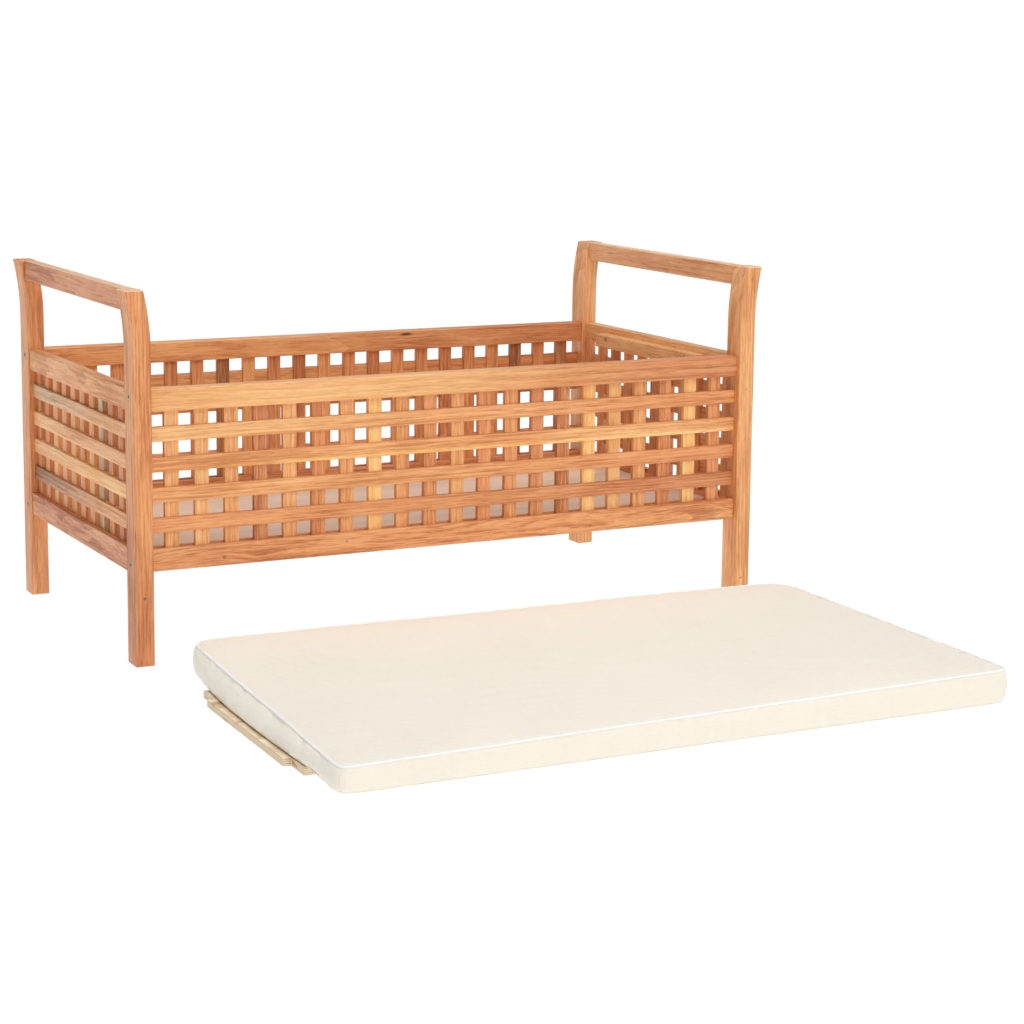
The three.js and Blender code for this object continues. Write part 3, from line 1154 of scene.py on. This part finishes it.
@dataclass
class BenchFrame:
    """Legs, arms, rails, battens and boards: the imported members, each cut from its own board.

    Attributes:
        nodes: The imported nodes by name.
    """

    nodes: dict[str, Piece]

    def dress(self) -> None:
        """Gives every packed member of the bench its finish."""
        self.dress_legs()
        self.dress_rails()
        self.dress_inside()
        self.dress_fasteners()

    def wood(self, node: str, tone: Tone, grain: Grain, **figure: object) -> None:
        """Cuts one member from its own piece of timber."""
        coat(self.nodes[node], Timber(f"{node}_wood", tone, grain, **figure).material())
        LOG.info("%s is finished in %s", node, tone.name.lower())

    def dress_legs(self) -> None:
        """The legs differ in tone, and two of them have small knots."""
        # The tops of both front legs are painted paler, a painted sheen.
        front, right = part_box("leg_front_left"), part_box("leg_front_right")
        face = front[0].y
        self.wood(
            "leg_front_left",
            Tone.RUSSET,
            Grain.ALONG_Z,
            # Painted shade: the leg is painted RUSSET near the floor and AMBER higher up, so it is
            # darker towards the floor, where less light reaches.
            far_tone=Tone.AMBER,
            fade=(0.05, 0.3),
            pith=(0.31, 0.44),
            ring_gap=0.0046,
            knots=(Knot((-0.4445, face, 0.088), 0.0022),),
            pale_above=front[1].z - PAINTED_SHEEN_DEPTH,
        )
        self.wood(
            "leg_front_right",
            Tone.HONEY,
            Grain.ALONG_Z,
            pith=(0.05, -0.38),
            tilt=1.6,
            ring_gap=0.006,
            knots=(
                Knot((right[1].x - 0.0165, face, 0.46), 0.0028, 0.3),
                Knot((right[1].x - 0.0225, face, 0.035), 0.0024, 0.7),
                Knot((right[1].x - 0.0215, face, 0.305), 0.0016, 0.4),
            ),
            pale_above=front[1].z - PAINTED_SHEEN_DEPTH,
        )
        self.wood("leg_back_left", Tone.AMBER, Grain.ALONG_Z, pith=(0.4, -0.6), ring_gap=0.0058)
        self.wood(
            "leg_back_right",
            Tone.HONEY,
            Grain.ALONG_Z,
            pith=(-0.5, -0.7),
            ring_gap=0.005,
            tilt=0.4,
        )

    def dress_rails(self) -> None:
        """Top rails have straight grain, and the bottom rails a wavy figure with knots."""
        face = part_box("bottom_rail_front")[0]
        self.wood(
            "top_rail_front",
            Tone.STRAW,
            Grain.ALONG_X,
            # Partly painted shade: the rail is painted darker towards its right end; this is partly
            # the wood's own tone and partly painted shade for the light falling off to the right.
            far_tone=Tone.RUSSET,
            fade=(-0.15, 0.42),
            pith=(0.3, -0.21),
            ring_gap=0.0038,
            wander=0.008,
            tilt=0.5,
            contrast=0.8,
        )
        self.wood(
            "bottom_rail_front",
            Tone.RUSSET,
            Grain.ALONG_X,
            far_tone=Tone.AMBER,
            fade=(-0.42, -0.1),
            pith=(-0.03, -0.11),
            ring_gap=0.0052,
            wander=0.034,
            tilt=2.6,
            contrast=1.3,
            knots=(
                Knot((-0.335, face.y, 0.1305), 0.0032, 0.55),
                Knot((-0.165, face.y, 0.1365), 0.0028, 0.45),
                Knot((0.2, face.y, 0.128), 0.002, 0.4),
            ),
        )
        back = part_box("top_rail_back")
        self.wood(
            "top_rail_back",
            Tone.HONEY,
            Grain.ALONG_X,
            far_tone=Tone.RUSSET,
            pith=(0.2, -0.3),
            wander=0.02,
            knots=(Knot((0.130, back[0].y, back[1].z - 0.0045), 0.0022, 0.95, (0.22, 1, 1)),),
        )
        self.wood("bottom_rail_back", Tone.RUSSET, Grain.ALONG_X, pith=(-0.4, -0.2), wander=0.02)
        for end, tone in (("left", Tone.HONEY), ("right", Tone.STRAW)):
            self.wood(
                f"end_top_rail_{end}",
                tone,
                Grain.ALONG_Y,
                pith=(0.5, -0.3),
                ring_gap=0.0044,
                tilt=0.7,
            )
            # The arm rails' tops are painted paler, a painted sheen.
            self.wood(
                f"arm_rail_{end}",
                Tone.RUSSET if end == "left" else Tone.HONEY,
                Grain.ALONG_Y,
                pith=(0.36, -0.52),
                ring_gap=0.0056,
                tilt=0.9,
                pale_above=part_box(f"arm_rail_{end}")[1].z - PAINTED_SHEEN_DEPTH,
            )
        self.wood(
            "end_bottom_rail_left",
            Tone.RUSSET,
            Grain.ALONG_Y,
            pith=(0.41, -0.115),
            wander=0.03,
            tilt=3.0,
            ring_gap=0.0065,
            contrast=1.2,
        )
        self.wood(
            "end_bottom_rail_right",
            Tone.AMBER,
            Grain.ALONG_Y,
            pith=(-0.44, -0.13),
            wander=0.02,
        )

    def dress_inside(self) -> None:
        """Battens of plain wood, and the thin board on the lower pair."""
        for end, tone in (("left", Tone.RUSSET), ("right", Tone.STRAW)):
            self.wood(f"seat_batten_{end}", tone, Grain.ALONG_Y, pith=(0.2, -0.31))
        for face in ("front", "back"):
            self.wood(f"floor_batten_{face}", Tone.RUSSET, Grain.ALONG_X, pith=(0.12, -0.25))
        coat(self.nodes["bottom_board"], PanelBoard().material())

    def dress_fasteners(self) -> None:
        """Bolts, barrel nuts and screws share one plating."""
        steel = Steel().material()
        for name, node in self.nodes.items():
            if name.startswith(("bolt_", "barrel_nut_")) or "_screw_" in name:
                coat(node, steel)
            if name.startswith("barrel_nut_"):
                self.add_cap(name)

    def add_cap(self, nut: str, radius: float = 0.0062, thick: float = 0.0005) -> None:
        """Covers a barrel nut with a thin cap in the wood of its rail.

        Args:
            nut: The barrel nut's node.
            radius: The cap's radius.
            thick: Its thickness.
        """
        low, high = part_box(nut)
        _, face, level, letter = nut.removeprefix("barrel_").split("_")
        rail = f"{'top' if level == 'top' else 'bottom'}_rail_{face}"
        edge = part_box(rail)[1 if face == "front" else 0].y
        middle = (low + high) / 2
        out = thick / 2 if face == "front" else -thick / 2
        bpy.ops.object.select_all(action="DESELECT")
        bpy.ops.mesh.primitive_cylinder_add(
            vertices=32,
            radius=radius,
            depth=thick,
            location=(middle.x, edge + out, middle.z),
            rotation=(math.pi / 2, 0, 0),
        )
        cap = bpy.context.active_object
        cap.name = cap.data.name = f"nut_cap_{face}_{level}_{letter}"
        bpy.ops.object.transform_apply(location=True, rotation=True, scale=True)
        bpy.ops.object.mode_set(mode="EDIT")
        bpy.ops.mesh.select_all(action="SELECT")
        bpy.ops.mesh.bevel(offset=thick * 0.3, segments=2, affect="EDGES")
        bpy.ops.object.mode_set(mode="OBJECT")
        shade(cap)
        coat(cap, self.nodes[rail].material_slots[0].material)
        fit_piece(cap, "bench")


# ---- Loose seat -----------------------------------------------------------------------------


@dataclass
class Corner:
    """One corner of the cushion.

    Attributes:
        x: Its place across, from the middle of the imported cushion.
        y: Its place from front to back, from that middle.
        top: The height of its top seam.
        radius: How far before its tip the outline starts to turn.
    """

    x: float
    y: float
    top: float
    radius: float


def sew_on(piece: Piece, material: bpy.types.Material) -> None:
    """Finishes a trimming and puts it on the cushion."""
    coat(piece, material)
    fit_piece(piece, "cushion")


@dataclass
class ZipFastener:
    """A zip: two tapes, the teeth between them, and a slider with its pull.

    Attributes:
        run: The points that its middle follows, from the left.
        tape_lift: How far the middle of each tape lies above or below the teeth.
        tape_radius: Half a tape's width.
        teeth: How many teeth it has.
    """

    run: Sequence[Vector]
    tape_lift: float = 0.0042
    tape_radius: float = 0.0024
    teeth: int = 120

    def build(self) -> None:
        """Makes the zip and sews it on."""
        tape = Canvas("zip_tape", body=(240, 232, 214), thread=0.0007, slub=0.3).material()
        for name, lift in (("upper", self.tape_lift), ("lower", -self.tape_lift)):
            edge = [spot + Vector((0, 0, lift)) for spot in self.run]
            sew_on(tube(f"cushion_zip_tape_{name}", edge, self.tape_radius, closed=False), tape)
        steel = Steel("zip_metal").material()
        self.set_teeth(steel)
        self.add_slider(steel)

    def set_teeth(self, steel: bpy.types.Material) -> None:
        """Makes one tooth, copies it along the run, and joins the row into one piece.

        Args:
            steel: The material of the teeth.
        """
        tooth = block("tooth_pattern", (-0.0011, -0.0012, -0.0022), (0.0011, 0.0022, 0.0022))
        ease_arrises(tooth, 2, 0.0005, 1)
        row = []
        for i in range(self.teeth):
            place = i * (len(self.run) - 1) / (self.teeth - 1)
            low = min(int(place), len(self.run) - 2)
            spot = self.run[low].lerp(self.run[low + 1], place - low)
            row.append(copy_of(tooth, f"tooth_{i}", Matrix.Translation(spot)))
        bpy.data.objects.remove(tooth)
        pick(row[0])
        for other in row[1:]:
            other.select_set(True)
        bpy.ops.object.join()
        row[0].name = "cushion_zip_teeth"
        sew_on(row[0], steel)

    def add_slider(self, steel: bpy.types.Material) -> None:
        """Puts the slider with its pull on the run's first point.

        Args:
            steel: The material of the slider.
        """
        first = self.run[0]
        slider = block(
            "cushion_zip_slider",
            first + Vector((0.004, 0.0005, -0.005)),
            first + Vector((0.015, 0.0048, 0.005)),
        )
        ease_arrises(slider, 1, 0.0018, 3)
        pull = block(
            "pull_leaf",
            first + Vector((0.014, 0.0042, -0.0025)),
            first + Vector((0.034, 0.0056, 0.0025)),
        )
        ease_arrises(pull, 1, 0.0016, 3)
        pick(slider)
        pull.select_set(True)
        bpy.ops.object.join()
        sew_on(slider, steel)


@dataclass
class Cushion:
    """Box cushion of cream canvas: two panels joined by a band, piped along the top seam.

    Attributes:
        corners: The corners in order: front left, front right, back right, back left.
        mid_tops: The top seam's height halfway along the front, right, back and left sides.
        lean: How far the bottom seam stands out from the top seam on each of those sides.
        crown: How far the filling may lift a point of the top panel.
        bulge: How far it may push any other point.
        voxel: The size of the cloth's mesh before the simulation.
        frames: How many steps the simulation runs.
        on_board: The height of the underside where it lies on the board.
        on_floor: The height of the underside in front of the board.
        fall: The length over which it comes down from one to the other.
        middle_height: The height of the top panel's middle before the filling.
        panel_rise: How far the top panel rises inside its seam before the filling.
        band_swell: How far the band stands out halfway up, before the filling.
        board_lip: How far the cushion lies on the board's front edge before it comes down.
        board_front: Where it comes down, from front to back.
        middle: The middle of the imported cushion, on the floor.
    """

    corners: Sequence[Corner] = (
        Corner(-0.4455, -0.2605, 0.0315, 0.014),
        Corner(0.4335, -0.2605, 0.0425, 0.017),
        Corner(0.4465, 0.2535, 0.0455, 0.042),
        Corner(-0.4195, 0.2655, 0.0475, 0.024),
    )
    mid_tops: Sequence[float] = (0.0370, 0.0440, 0.0470, 0.0392)
    lean: Sequence[float] = (0.002, 0.004, 0.003, 0.015)
    crown: float = 0.0085
    bulge: float = 0.0045
    voxel: float = 0.0062
    frames: int = 20
    on_board: float = 0.0098
    on_floor: float = 0.0012
    fall: float = 0.045
    middle_height: float = 0.0435
    panel_rise: float = 0.003
    band_swell: float = 0.004
    board_lip: float = 0.012
    board_front: float = field(init=False)
    middle: Vector = field(init=False)

    def __post_init__(self) -> None:
        """Reads the cushion's and the board's places from the frame."""
        low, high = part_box("cushion_cover")
        self.middle = Vector(((low.x + high.x) / 2, (low.y + high.y) / 2, 0))
        self.board_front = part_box("seat_board")[0].y + self.board_lip

    def build(self) -> None:
        """Makes the cover, its trimmings and the foam inside."""
        seam, hem = self.outline()
        cover = self.sew(seam, hem, "cushion_cover_sewn")
        self.fill(cover, seam)
        self.crease(cover, seam)
        coat(cover, Canvas("cushion_canvas").material())
        fit_piece(cover, "cushion", "cushion_cover")
        self.trim(cover, seam, hem)
        self.core(seam, hem)

    def side_point(self, side: int, share: float) -> tuple[Vector, float, float]:
        """A point on one straight side, with its two seam heights.

        Args:
            side: 0 to 3 for front, right, back and left.
            share: How far along the side, from 0 to 1.

        Returns:
            The point in plan, the top seam's height and the bottom seam's height.
        """
        a, b = self.corners[side], self.corners[(side + 1) % 4]
        spot = Vector((a.x, a.y, 0)).lerp(Vector((b.x, b.y, 0)), share)
        ease = 4 * share * (1 - share)
        plain = a.top + (b.top - a.top) * share
        middle = (a.top + b.top) / 2
        top = plain + (self.mid_tops[side] - middle) * min(1, 1.6 * ease)
        return spot, top, self.underside(spot.y + self.middle.y)

    def outline(self, steps: int = 64) -> tuple[list[Vector], list[Vector]]:
        """The top seam and the bottom seam as closed rings of matching points.

        Args:
            steps: How many points a metre of a side gets.

        Returns:
            The top seam's points and the bottom seam's points.
        """
        plan: list[tuple[Vector, float, float, float]] = []
        for side in range(4):
            a, b = self.corners[side], self.corners[(side + 1) % 4]
            run = self.length_of(side)
            start, stop = a.radius / run, b.radius / run
            count = max(12, int(steps * run))
            for i in range(count + 1):
                share = start + (1 - start - stop) * i / count
                spot, top, level = self.side_point(side, share)
                swell = 4 * share * (1 - share)
                plan.append((spot, top, level, self.lean[side] * swell))
            plan.extend(self.turn_corner(side, 9))
        ring, hem = [], []
        count = len(plan)
        for i, (spot, top, level, lean) in enumerate(plan):
            before, after = plan[i - 1][0], plan[(i + 1) % count][0]
            out = (after - before).cross(Vector((0, 0, 1))).normalized()
            bow = 0.0016 * noise.noise(Vector((spot.x * 6, spot.y * 6, 1.3)))
            ring.append(self.middle + spot + out * bow + Vector((0, 0, top)))
            hem.append(self.middle + spot + out * (lean + bow) + Vector((0, 0, level)))
        return ring, hem

    def turn_corner(self, side: int, count: int) -> list[tuple[Vector, float, float, float]]:
        """The points that carry the outline round the corner at the end of a side.

        Args:
            side: 0 to 3 for front, right, back and left.
            count: How many steps the turn has.

        Returns:
            For each point its place, its two seam heights, and its lean.
        """
        after = (side + 1) % 4
        tip = self.corners[after]
        start, top_a, low_a = self.side_point(side, 1 - tip.radius / self.length_of(side))
        end, top_b, low_b = self.side_point(after, tip.radius / self.length_of(after))
        peak = Vector((tip.x, tip.y, 0))
        points = []
        for i in range(1, count):
            t = i / count
            spot = start * (1 - t) ** 2 + peak * 2 * t * (1 - t) + end * t * t
            points.append((spot, top_a + (top_b - top_a) * t, low_a + (low_b - low_a) * t, 0.0))
        return points

    def length_of(self, side: int) -> float:
        """The length of one side between its two corners."""
        a, b = self.corners[side], self.corners[(side + 1) % 4]
        return math.hypot(b.x - a.x, b.y - a.y)

    def underside(self, y: float) -> float:
        """The height of the bottom panel: on the board, and falling to the floor before it."""
        reach = min(1.0, max(0.0, (self.board_front - y) / self.fall))
        return self.on_board + (self.on_floor - self.on_board) * (reach * reach * (3 - 2 * reach))

    def sew(
        self, seam: Sequence[Vector], hem: Sequence[Vector], name: str, pull: float = 0.0
    ) -> Piece:
        """Joins the panels and the band into one closed cover.

        Args:
            seam: The top seam's ring.
            hem: The bottom seam's ring.
            name: The new piece's name.
            pull: How far every side is drawn in, for the core.

        Returns:
            The cover before it is filled.
        """
        shape = bmesh.new()
        centre = sum(seam, Vector()) / len(seam)
        lower_rings = (0.96, 0.8, 0.6, 0.4, 0.2, 0.08)
        upper_rings = (0.04, 0.1, 0.2, 0.4, 0.6, 0.8, 0.96)
        loops = [self.panel_loop(hem, centre, share, pull, below=True) for share in lower_rings]
        for share in (0.0, 0.2, 0.4, 0.6, 0.8, 1.0):
            loop = []
            for low, high in zip(hem, seam, strict=True):
                out = (low - centre).to_2d().normalized()
                swell = self.band_swell * math.sin(math.pi * share) - pull
                spot = low.lerp(high, share)
                lift = pull * (1 - 2 * share)
                loop.append(spot + Vector((out.x * swell, out.y * swell, lift)))
            loops.append(loop)
        loops += [self.panel_loop(seam, centre, share, pull, below=False) for share in upper_rings]
        rows = [[shape.verts.new(spot) for spot in loop] for loop in loops]
        for lower, upper in zip(rows, rows[1:], strict=False):
            for i in range(len(lower)):
                shape.faces.new((lower[i - 1], lower[i], upper[i], upper[i - 1]))
        shape.faces.new(reversed(rows[0]))
        shape.faces.new(rows[-1])
        bmesh.ops.recalc_face_normals(shape, faces=shape.faces)
        mesh = bpy.data.meshes.new(name)
        shape.to_mesh(mesh)
        shape.free()
        piece = bpy.data.objects.new(name, mesh)
        bpy.context.scene.collection.objects.link(piece)
        return piece

    def panel_loop(
        self, ring: Sequence[Vector], centre: Vector, share: float, pull: float, below: bool
    ) -> list[Vector]:
        """One ring of a panel, a share of the way from its seam to its middle.

        Args:
            ring: The points of the seam.
            centre: The panel's middle.
            share: How far the ring lies inside the seam, from 0 to 1.
            pull: How far the panel is drawn in.
            below: Whether it is the bottom panel.

        Returns:
            The points of the ring.
        """
        loop = []
        for spot in ring:
            inner = Vector((centre.x, centre.y, spot.z)).lerp(spot, 1 - share)
            if below:
                inner.z = self.underside(inner.y) + pull
            else:
                level = self.middle_height + (spot.z - self.middle_height) * (1 - share)
                inner.z = level + self.panel_rise * (1 - (1 - share) ** 4) - pull
            loop.append(inner)
        return loop

    def fill(self, cover: Piece, seam: Sequence[Vector]) -> None:
        """Blows the cover up against its seams by a cloth simulation and applies the result.

        Args:
            cover: The sewn cover.
            seam: The top seam, which stays where it is.
        """
        pick(cover)
        cover.data.remesh_voxel_size = self.voxel
        bpy.ops.object.voxel_remesh()
        start = [vertex.co.copy() for vertex in cover.data.vertices]
        tree = seam_tree(seam)
        held = cover.vertex_groups.new(name="held")
        for index, spot in enumerate(start):
            resting = spot.z < self.underside(spot.y) + 0.0015
            beside_seam = tree.find(spot)[2] < 0.0075
            if resting or beside_seam:
                held.add([index], 1.0, "REPLACE")
        cloth = cover.modifiers.new("filling", "CLOTH")
        rules = cloth.settings
        rules.quality = 5
        rules.mass = 0.3
        rules.tension_stiffness = rules.compression_stiffness = 15
        rules.shear_stiffness = 5
        rules.bending_stiffness = 0.5
        rules.vertex_group_mass = "held"
        rules.use_pressure = True
        rules.uniform_pressure_force = 4
        rules.effector_weights.gravity = 0
        cloth.collision_settings.use_collision = False
        cloth.point_cache.frame_start, cloth.point_cache.frame_end = 1, self.frames
        scene = bpy.context.scene
        for frame in range(1, self.frames + 1):
            scene.frame_set(frame)
        pick(cover)
        bpy.ops.object.modifier_apply(modifier=cloth.name)
        scene.frame_set(1)
        self.cap(cover, start)
        apply_modifier(cover, "SMOOTH", factor=0.5, iterations=3)
        apply_modifier(cover, "SUBSURF", levels=1, render_levels=1)
        shade(cover, 180)

    def cap(self, cover: Piece, start: Sequence[Vector]) -> None:
        """Keeps every point near its place before the filling, and above what it lies on.

        Args:
            cover: The filled cover.
            start: The place of each of its points before the filling.
        """
        for vertex, before in zip(cover.data.vertices, start, strict=True):
            moved = vertex.co - before
            most = self.crown if moved.z > abs(moved.x) + abs(moved.y) else self.bulge
            if moved.length > most:
                vertex.co = before + moved * (most / moved.length)
            vertex.co.z = max(vertex.co.z, min(before.z, self.underside(vertex.co.y)))

    def crease(self, cover: Piece, seam: Sequence[Vector]) -> None:
        """Puckers the cloth beside its seams and lets the band hang in soft folds.

        Args:
            cover: The filled cover.
            seam: The top seam.
        """
        tree = seam_tree(seam)
        for vertex in cover.data.vertices:
            spot = vertex.co
            near, _, away = tree.find(spot)
            if spot.z > near.z - 0.002:
                fade = max(0.0, 1 - away / 0.05) ** 2
                ripple = noise.noise(Vector((near.x * 34, near.y * 34, 2.0)))
                broad = noise.noise(Vector((spot.x * 5, spot.y * 5, 5.0)))
                vertex.co.z += 0.0011 * fade * ripple + 0.0009 * broad * (1 - fade)
            elif spot.z > self.underside(spot.y) + 0.003:
                out = (spot - self.middle).to_2d().normalized()
                on_end = abs(near.x - self.middle.x) > 0.4
                fold = noise.noise(Vector((near.x * 46, near.y * 46, spot.z * 9)))
                size = (0.0034 if on_end else 0.0013) * fold
                vertex.co.x += out.x * size
                vertex.co.y += out.y * size

    def laid_on(
        self, cover: Piece, path: Sequence[Vector], lift: float, closed: bool
    ) -> list[Vector]:
        """Lays a path on the filled cover's surface.

        Args:
            cover: The filled cover.
            path: The points of a seam before the filling.
            lift: How far the path stands off the surface.
            closed: Whether its end joins its start.

        Returns:
            The points on the surface, smoothed along the path.
        """
        spots = []
        for spot in path:
            _, near, normal, _ = cover.closest_point_on_mesh(spot)
            spots.append(near + normal * lift)
        for _ in range(4):
            first, last = spots[0], spots[-1]
            spots = [
                spots[i - 1] * 0.25 + spot * 0.5 + spots[(i + 1) % len(spots)] * 0.25
                for i, spot in enumerate(spots)
            ]
            if not closed:
                spots[0], spots[-1] = first, last
        return spots

    def trim(self, cover: Piece, seam: Sequence[Vector], hem: Sequence[Vector]) -> None:
        """Sews on the white piping, the bottom seam, and the upright seams of the band.

        Args:
            cover: The finished cover.
            seam: The top seam.
            hem: The bottom seam.
        """
        white = Canvas("piping_white", body=(252, 252, 252), thread=0.0007, slub=0.4).material()
        thread = Canvas("seam_thread", body=(240, 230, 206), thread=0.0009, slub=0.4).material()
        over = self.laid_on(cover, seam, 0.0008, closed=True)
        sew_on(tube("cushion_piping", over, 0.0015, closed=True), white)
        under = self.laid_on(cover, hem, 0.0, closed=True)
        sew_on(tube("cushion_bottom_seam", under, 0.0008, closed=True), thread)
        names = ("front_left", "front_right", "back_right", "back_left")
        for name, corner in zip(names, self.corners, strict=True):
            tip = self.middle + Vector((corner.x, corner.y, corner.top))
            index = min(range(len(seam)), key=lambda i: (seam[i] - tip).length)
            rise = [hem[index].lerp(seam[index], step / 8) for step in range(9)]
            rise = self.laid_on(cover, rise, 0.0001, closed=False)
            sew_on(tube(f"cushion_seam_{name}", rise, 0.0007, closed=False), thread)
        self.add_zip(cover, seam, hem)

    def add_zip(
        self, cover: Piece, seam: Sequence[Vector], hem: Sequence[Vector], reach: float = 0.31
    ) -> None:
        """Sets a zip into the back of the band.

        Args:
            cover: The finished cover.
            seam: The top seam.
            hem: The bottom seam.
            reach: How far the zip reaches from the middle to each side.
        """
        back = max(spot.y for spot in seam) - 0.03
        run = [
            low.lerp(high, 0.5) + Vector((0, 0.006, 0))
            for low, high in zip(hem, seam, strict=True)
            if high.y > back and abs(high.x - self.middle.x) < reach
        ]
        run.sort(key=lambda spot: spot.x)
        ZipFastener(self.laid_on(cover, run, 0.0, closed=False)).build()

    def core(self, seam: Sequence[Vector], hem: Sequence[Vector]) -> None:
        """Makes the foam that fills the cover, a little smaller all round.

        Args:
            seam: The top seam.
            hem: The bottom seam.
        """
        foam = self.sew(seam, hem, "cushion_foam_core", pull=0.0045)
        pick(foam)
        foam.data.remesh_voxel_size = 0.008
        bpy.ops.object.voxel_remesh()
        shade(foam, 180)
        coat(foam, Foam().material())
        fit_piece(foam, "cushion", "cushion_foam")


# ---- Studio ---------------------------------------------------------------------------------


@dataclass(frozen=True)
class Lamp:
    """A square soft lamp.

    Attributes:
        name: Its name.
        place: Where its middle hangs.
        size: The length of its side.
        watts: Its power.
        colour: The colour of its light, as linear red, green and blue.
    """

    name: str
    place: Point
    size: float
    watts: float
    colour: Colour


@dataclass
class Studio:
    """Pale floor, soft white surroundings, three soft lamps, and the camera.

    Attributes:
        eye: The camera's place.
        heading: The way that it looks, in degrees from +Y towards +X.
        pitch: How far it looks up, in degrees.
        roll: How far it is turned about its own axis, in degrees.
        lens: Its focal length in millimetres on a 36 mm sensor.
        shift: The lens shift across and up.
        room: The radius of the floor.
        wall: The height of the wall round it.
        sides: How many sides the floor and the wall have.
        sky: The strength of the white sky.
        aim: The point that the lamps face.
        lamps: The lamps.
    """

    eye: Point = (-1.4274, -2.8297, 0.7834)
    heading: float = 26.994
    pitch: float = -9.441
    roll: float = 0.557
    lens: float = 86.367
    shift: tuple[float, float] = (0.02, -0.06)
    room: float = 14.0
    wall: float = 3.6
    sides: int = 96
    sky: float = 0.14
    aim: Point = (0, 0, 0.2)
    lamps: Sequence[Lamp] = (
        Lamp("key_lamp", (0.2, -3.0, 3.1), 2.4, 71, (1.0, 0.975, 0.93)),
        Lamp("top_lamp", (0.1, 0.1, 4.2), 3.2, 100, (0.94, 0.975, 1.0)),
        Lamp("side_lamp", (-3.4, 0.5, 0.9), 1.6, 4, (0.99, 0.99, 1.0)),
    )

    def build(self) -> None:
        """Sets up everything round the object."""
        self.lay_floor()
        self.surround()
        for lamp in self.lamps:
            self.hang_lamp(lamp)
        self.stand_camera()
        bpy.context.scene.view_settings.view_transform = "Standard"

    def lay_floor(self) -> None:
        """Lays a wide, pale floor that glows a little, as a lit white sweep does."""
        bpy.ops.object.select_all(action="DESELECT")
        bpy.ops.mesh.primitive_circle_add(
            vertices=self.sides, radius=self.room, fill_type="NGON"
        )
        floor = bpy.context.active_object
        floor.name = "studio_floor"
        bpy.ops.object.mode_set(mode="EDIT")
        bpy.ops.mesh.select_all(action="SELECT")
        bpy.ops.mesh.normals_make_consistent(inside=False)
        bpy.ops.object.mode_set(mode="OBJECT")
        mix = Recipe("studio_white", 0.9, Specular_IOR_Level=0.1, Emission_Strength=0.97)
        mix.surface.inputs["Base Color"].default_value = (0.09, 0.09, 0.09, 1)
        mix.surface.inputs["Emission Color"].default_value = (1, 1, 1, 1)
        coat(floor, mix.material)
        self.raise_wall(mix.material)

    def raise_wall(self, white: bpy.types.Material) -> None:
        """Stands a low white wall round the floor, so that no horizon shows.

        Args:
            white: The floor's material.
        """
        bpy.ops.object.select_all(action="DESELECT")
        bpy.ops.mesh.primitive_cylinder_add(
            vertices=self.sides,
            radius=self.room,
            depth=self.wall,
            end_fill_type="NOTHING",
            location=(0, 0, self.wall / 2),
        )
        wall = bpy.context.active_object
        wall.name = "studio_wall"
        bpy.ops.object.transform_apply(location=True, rotation=True, scale=True)
        bpy.ops.object.mode_set(mode="EDIT")
        bpy.ops.mesh.select_all(action="SELECT")
        bpy.ops.mesh.flip_normals()
        bpy.ops.object.mode_set(mode="OBJECT")
        coat(wall, white)

    def surround(self) -> None:
        """Puts an even white sky round everything."""
        world = bpy.data.worlds.new("studio_sky")
        bpy.context.scene.world = world
        world.use_nodes = True
        sky = world.node_tree.nodes["Background"]
        sky.inputs["Color"].default_value = (0.98, 0.99, 1, 1)
        sky.inputs["Strength"].default_value = self.sky

    def hang_lamp(self, lamp: Lamp) -> None:
        """Hangs a lamp so that it faces the bench.

        Args:
            lamp: The lamp.
        """
        light = bpy.data.lights.new(lamp.name, "AREA")
        light.shape, light.size = "SQUARE", lamp.size
        light.energy, light.color = lamp.watts, lamp.colour
        holder = bpy.data.objects.new(lamp.name, light)
        holder.location = lamp.place
        aim = Vector(self.aim) - Vector(lamp.place)
        holder.rotation_euler = aim.to_track_quat("-Z", "Y").to_euler()
        bpy.context.scene.collection.objects.link(holder)

    def stand_camera(self) -> None:
        """Stands the camera at its place."""
        data = bpy.data.cameras.new("camera")
        data.lens, data.sensor_width = self.lens, 36
        data.shift_x, data.shift_y = self.shift
        data.clip_end = 60
        camera = bpy.data.objects.new("camera", data)
        yaw, pitch = math.radians(self.heading), math.radians(self.pitch)
        level = math.cos(pitch)
        ahead = Vector((math.sin(yaw) * level, math.cos(yaw) * level, math.sin(pitch)))
        right = Vector((math.cos(yaw), -math.sin(yaw), 0))
        up = right.cross(ahead)
        turned = Matrix((right, up, -ahead)).transposed().to_4x4()
        spin = Matrix.Rotation(math.radians(self.roll), 4, "Z")
        camera.matrix_world = Matrix.Translation(self.eye) @ turned @ spin
        bpy.context.scene.collection.objects.link(camera)
        bpy.context.scene.camera = camera


def main() -> None:
    """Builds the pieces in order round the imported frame."""
    logging.basicConfig(level=logging.INFO, format="%(name)s: %(message)s")
    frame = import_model()
    Studio().build()
    BenchFrame(frame["nodes"]).dress()
    # Most front slats are painted darker at their right end than at their left; this is partly the
    # wood's own tone and partly painted shade for the light falling off to the right.
    Lattice(Face.FRONT, "sshrhahyhahaarryshaya", ("ar", "ha", "hh", "sa")).build()
    Lattice(Face.BACK, "wrwaarrarahrrhwarahhh", ("ra", "ar", "wa", "ah")).build()
    Lattice(Face.LEFT, "rahahhhgrrr", ("wh", "sy", "sh", "gs")).build()
    Lattice(Face.RIGHT, "hraharahrah", ("ar", "ha", "rh", "ha")).build()
    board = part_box("seat_board")
    plywood = Plywood("seat_plywood", board[0].z, board[1].z - board[0].z)
    coat(frame["nodes"]["seat_board"], plywood.material())
    Cushion().build()


if __name__ == "__main__":
    main()
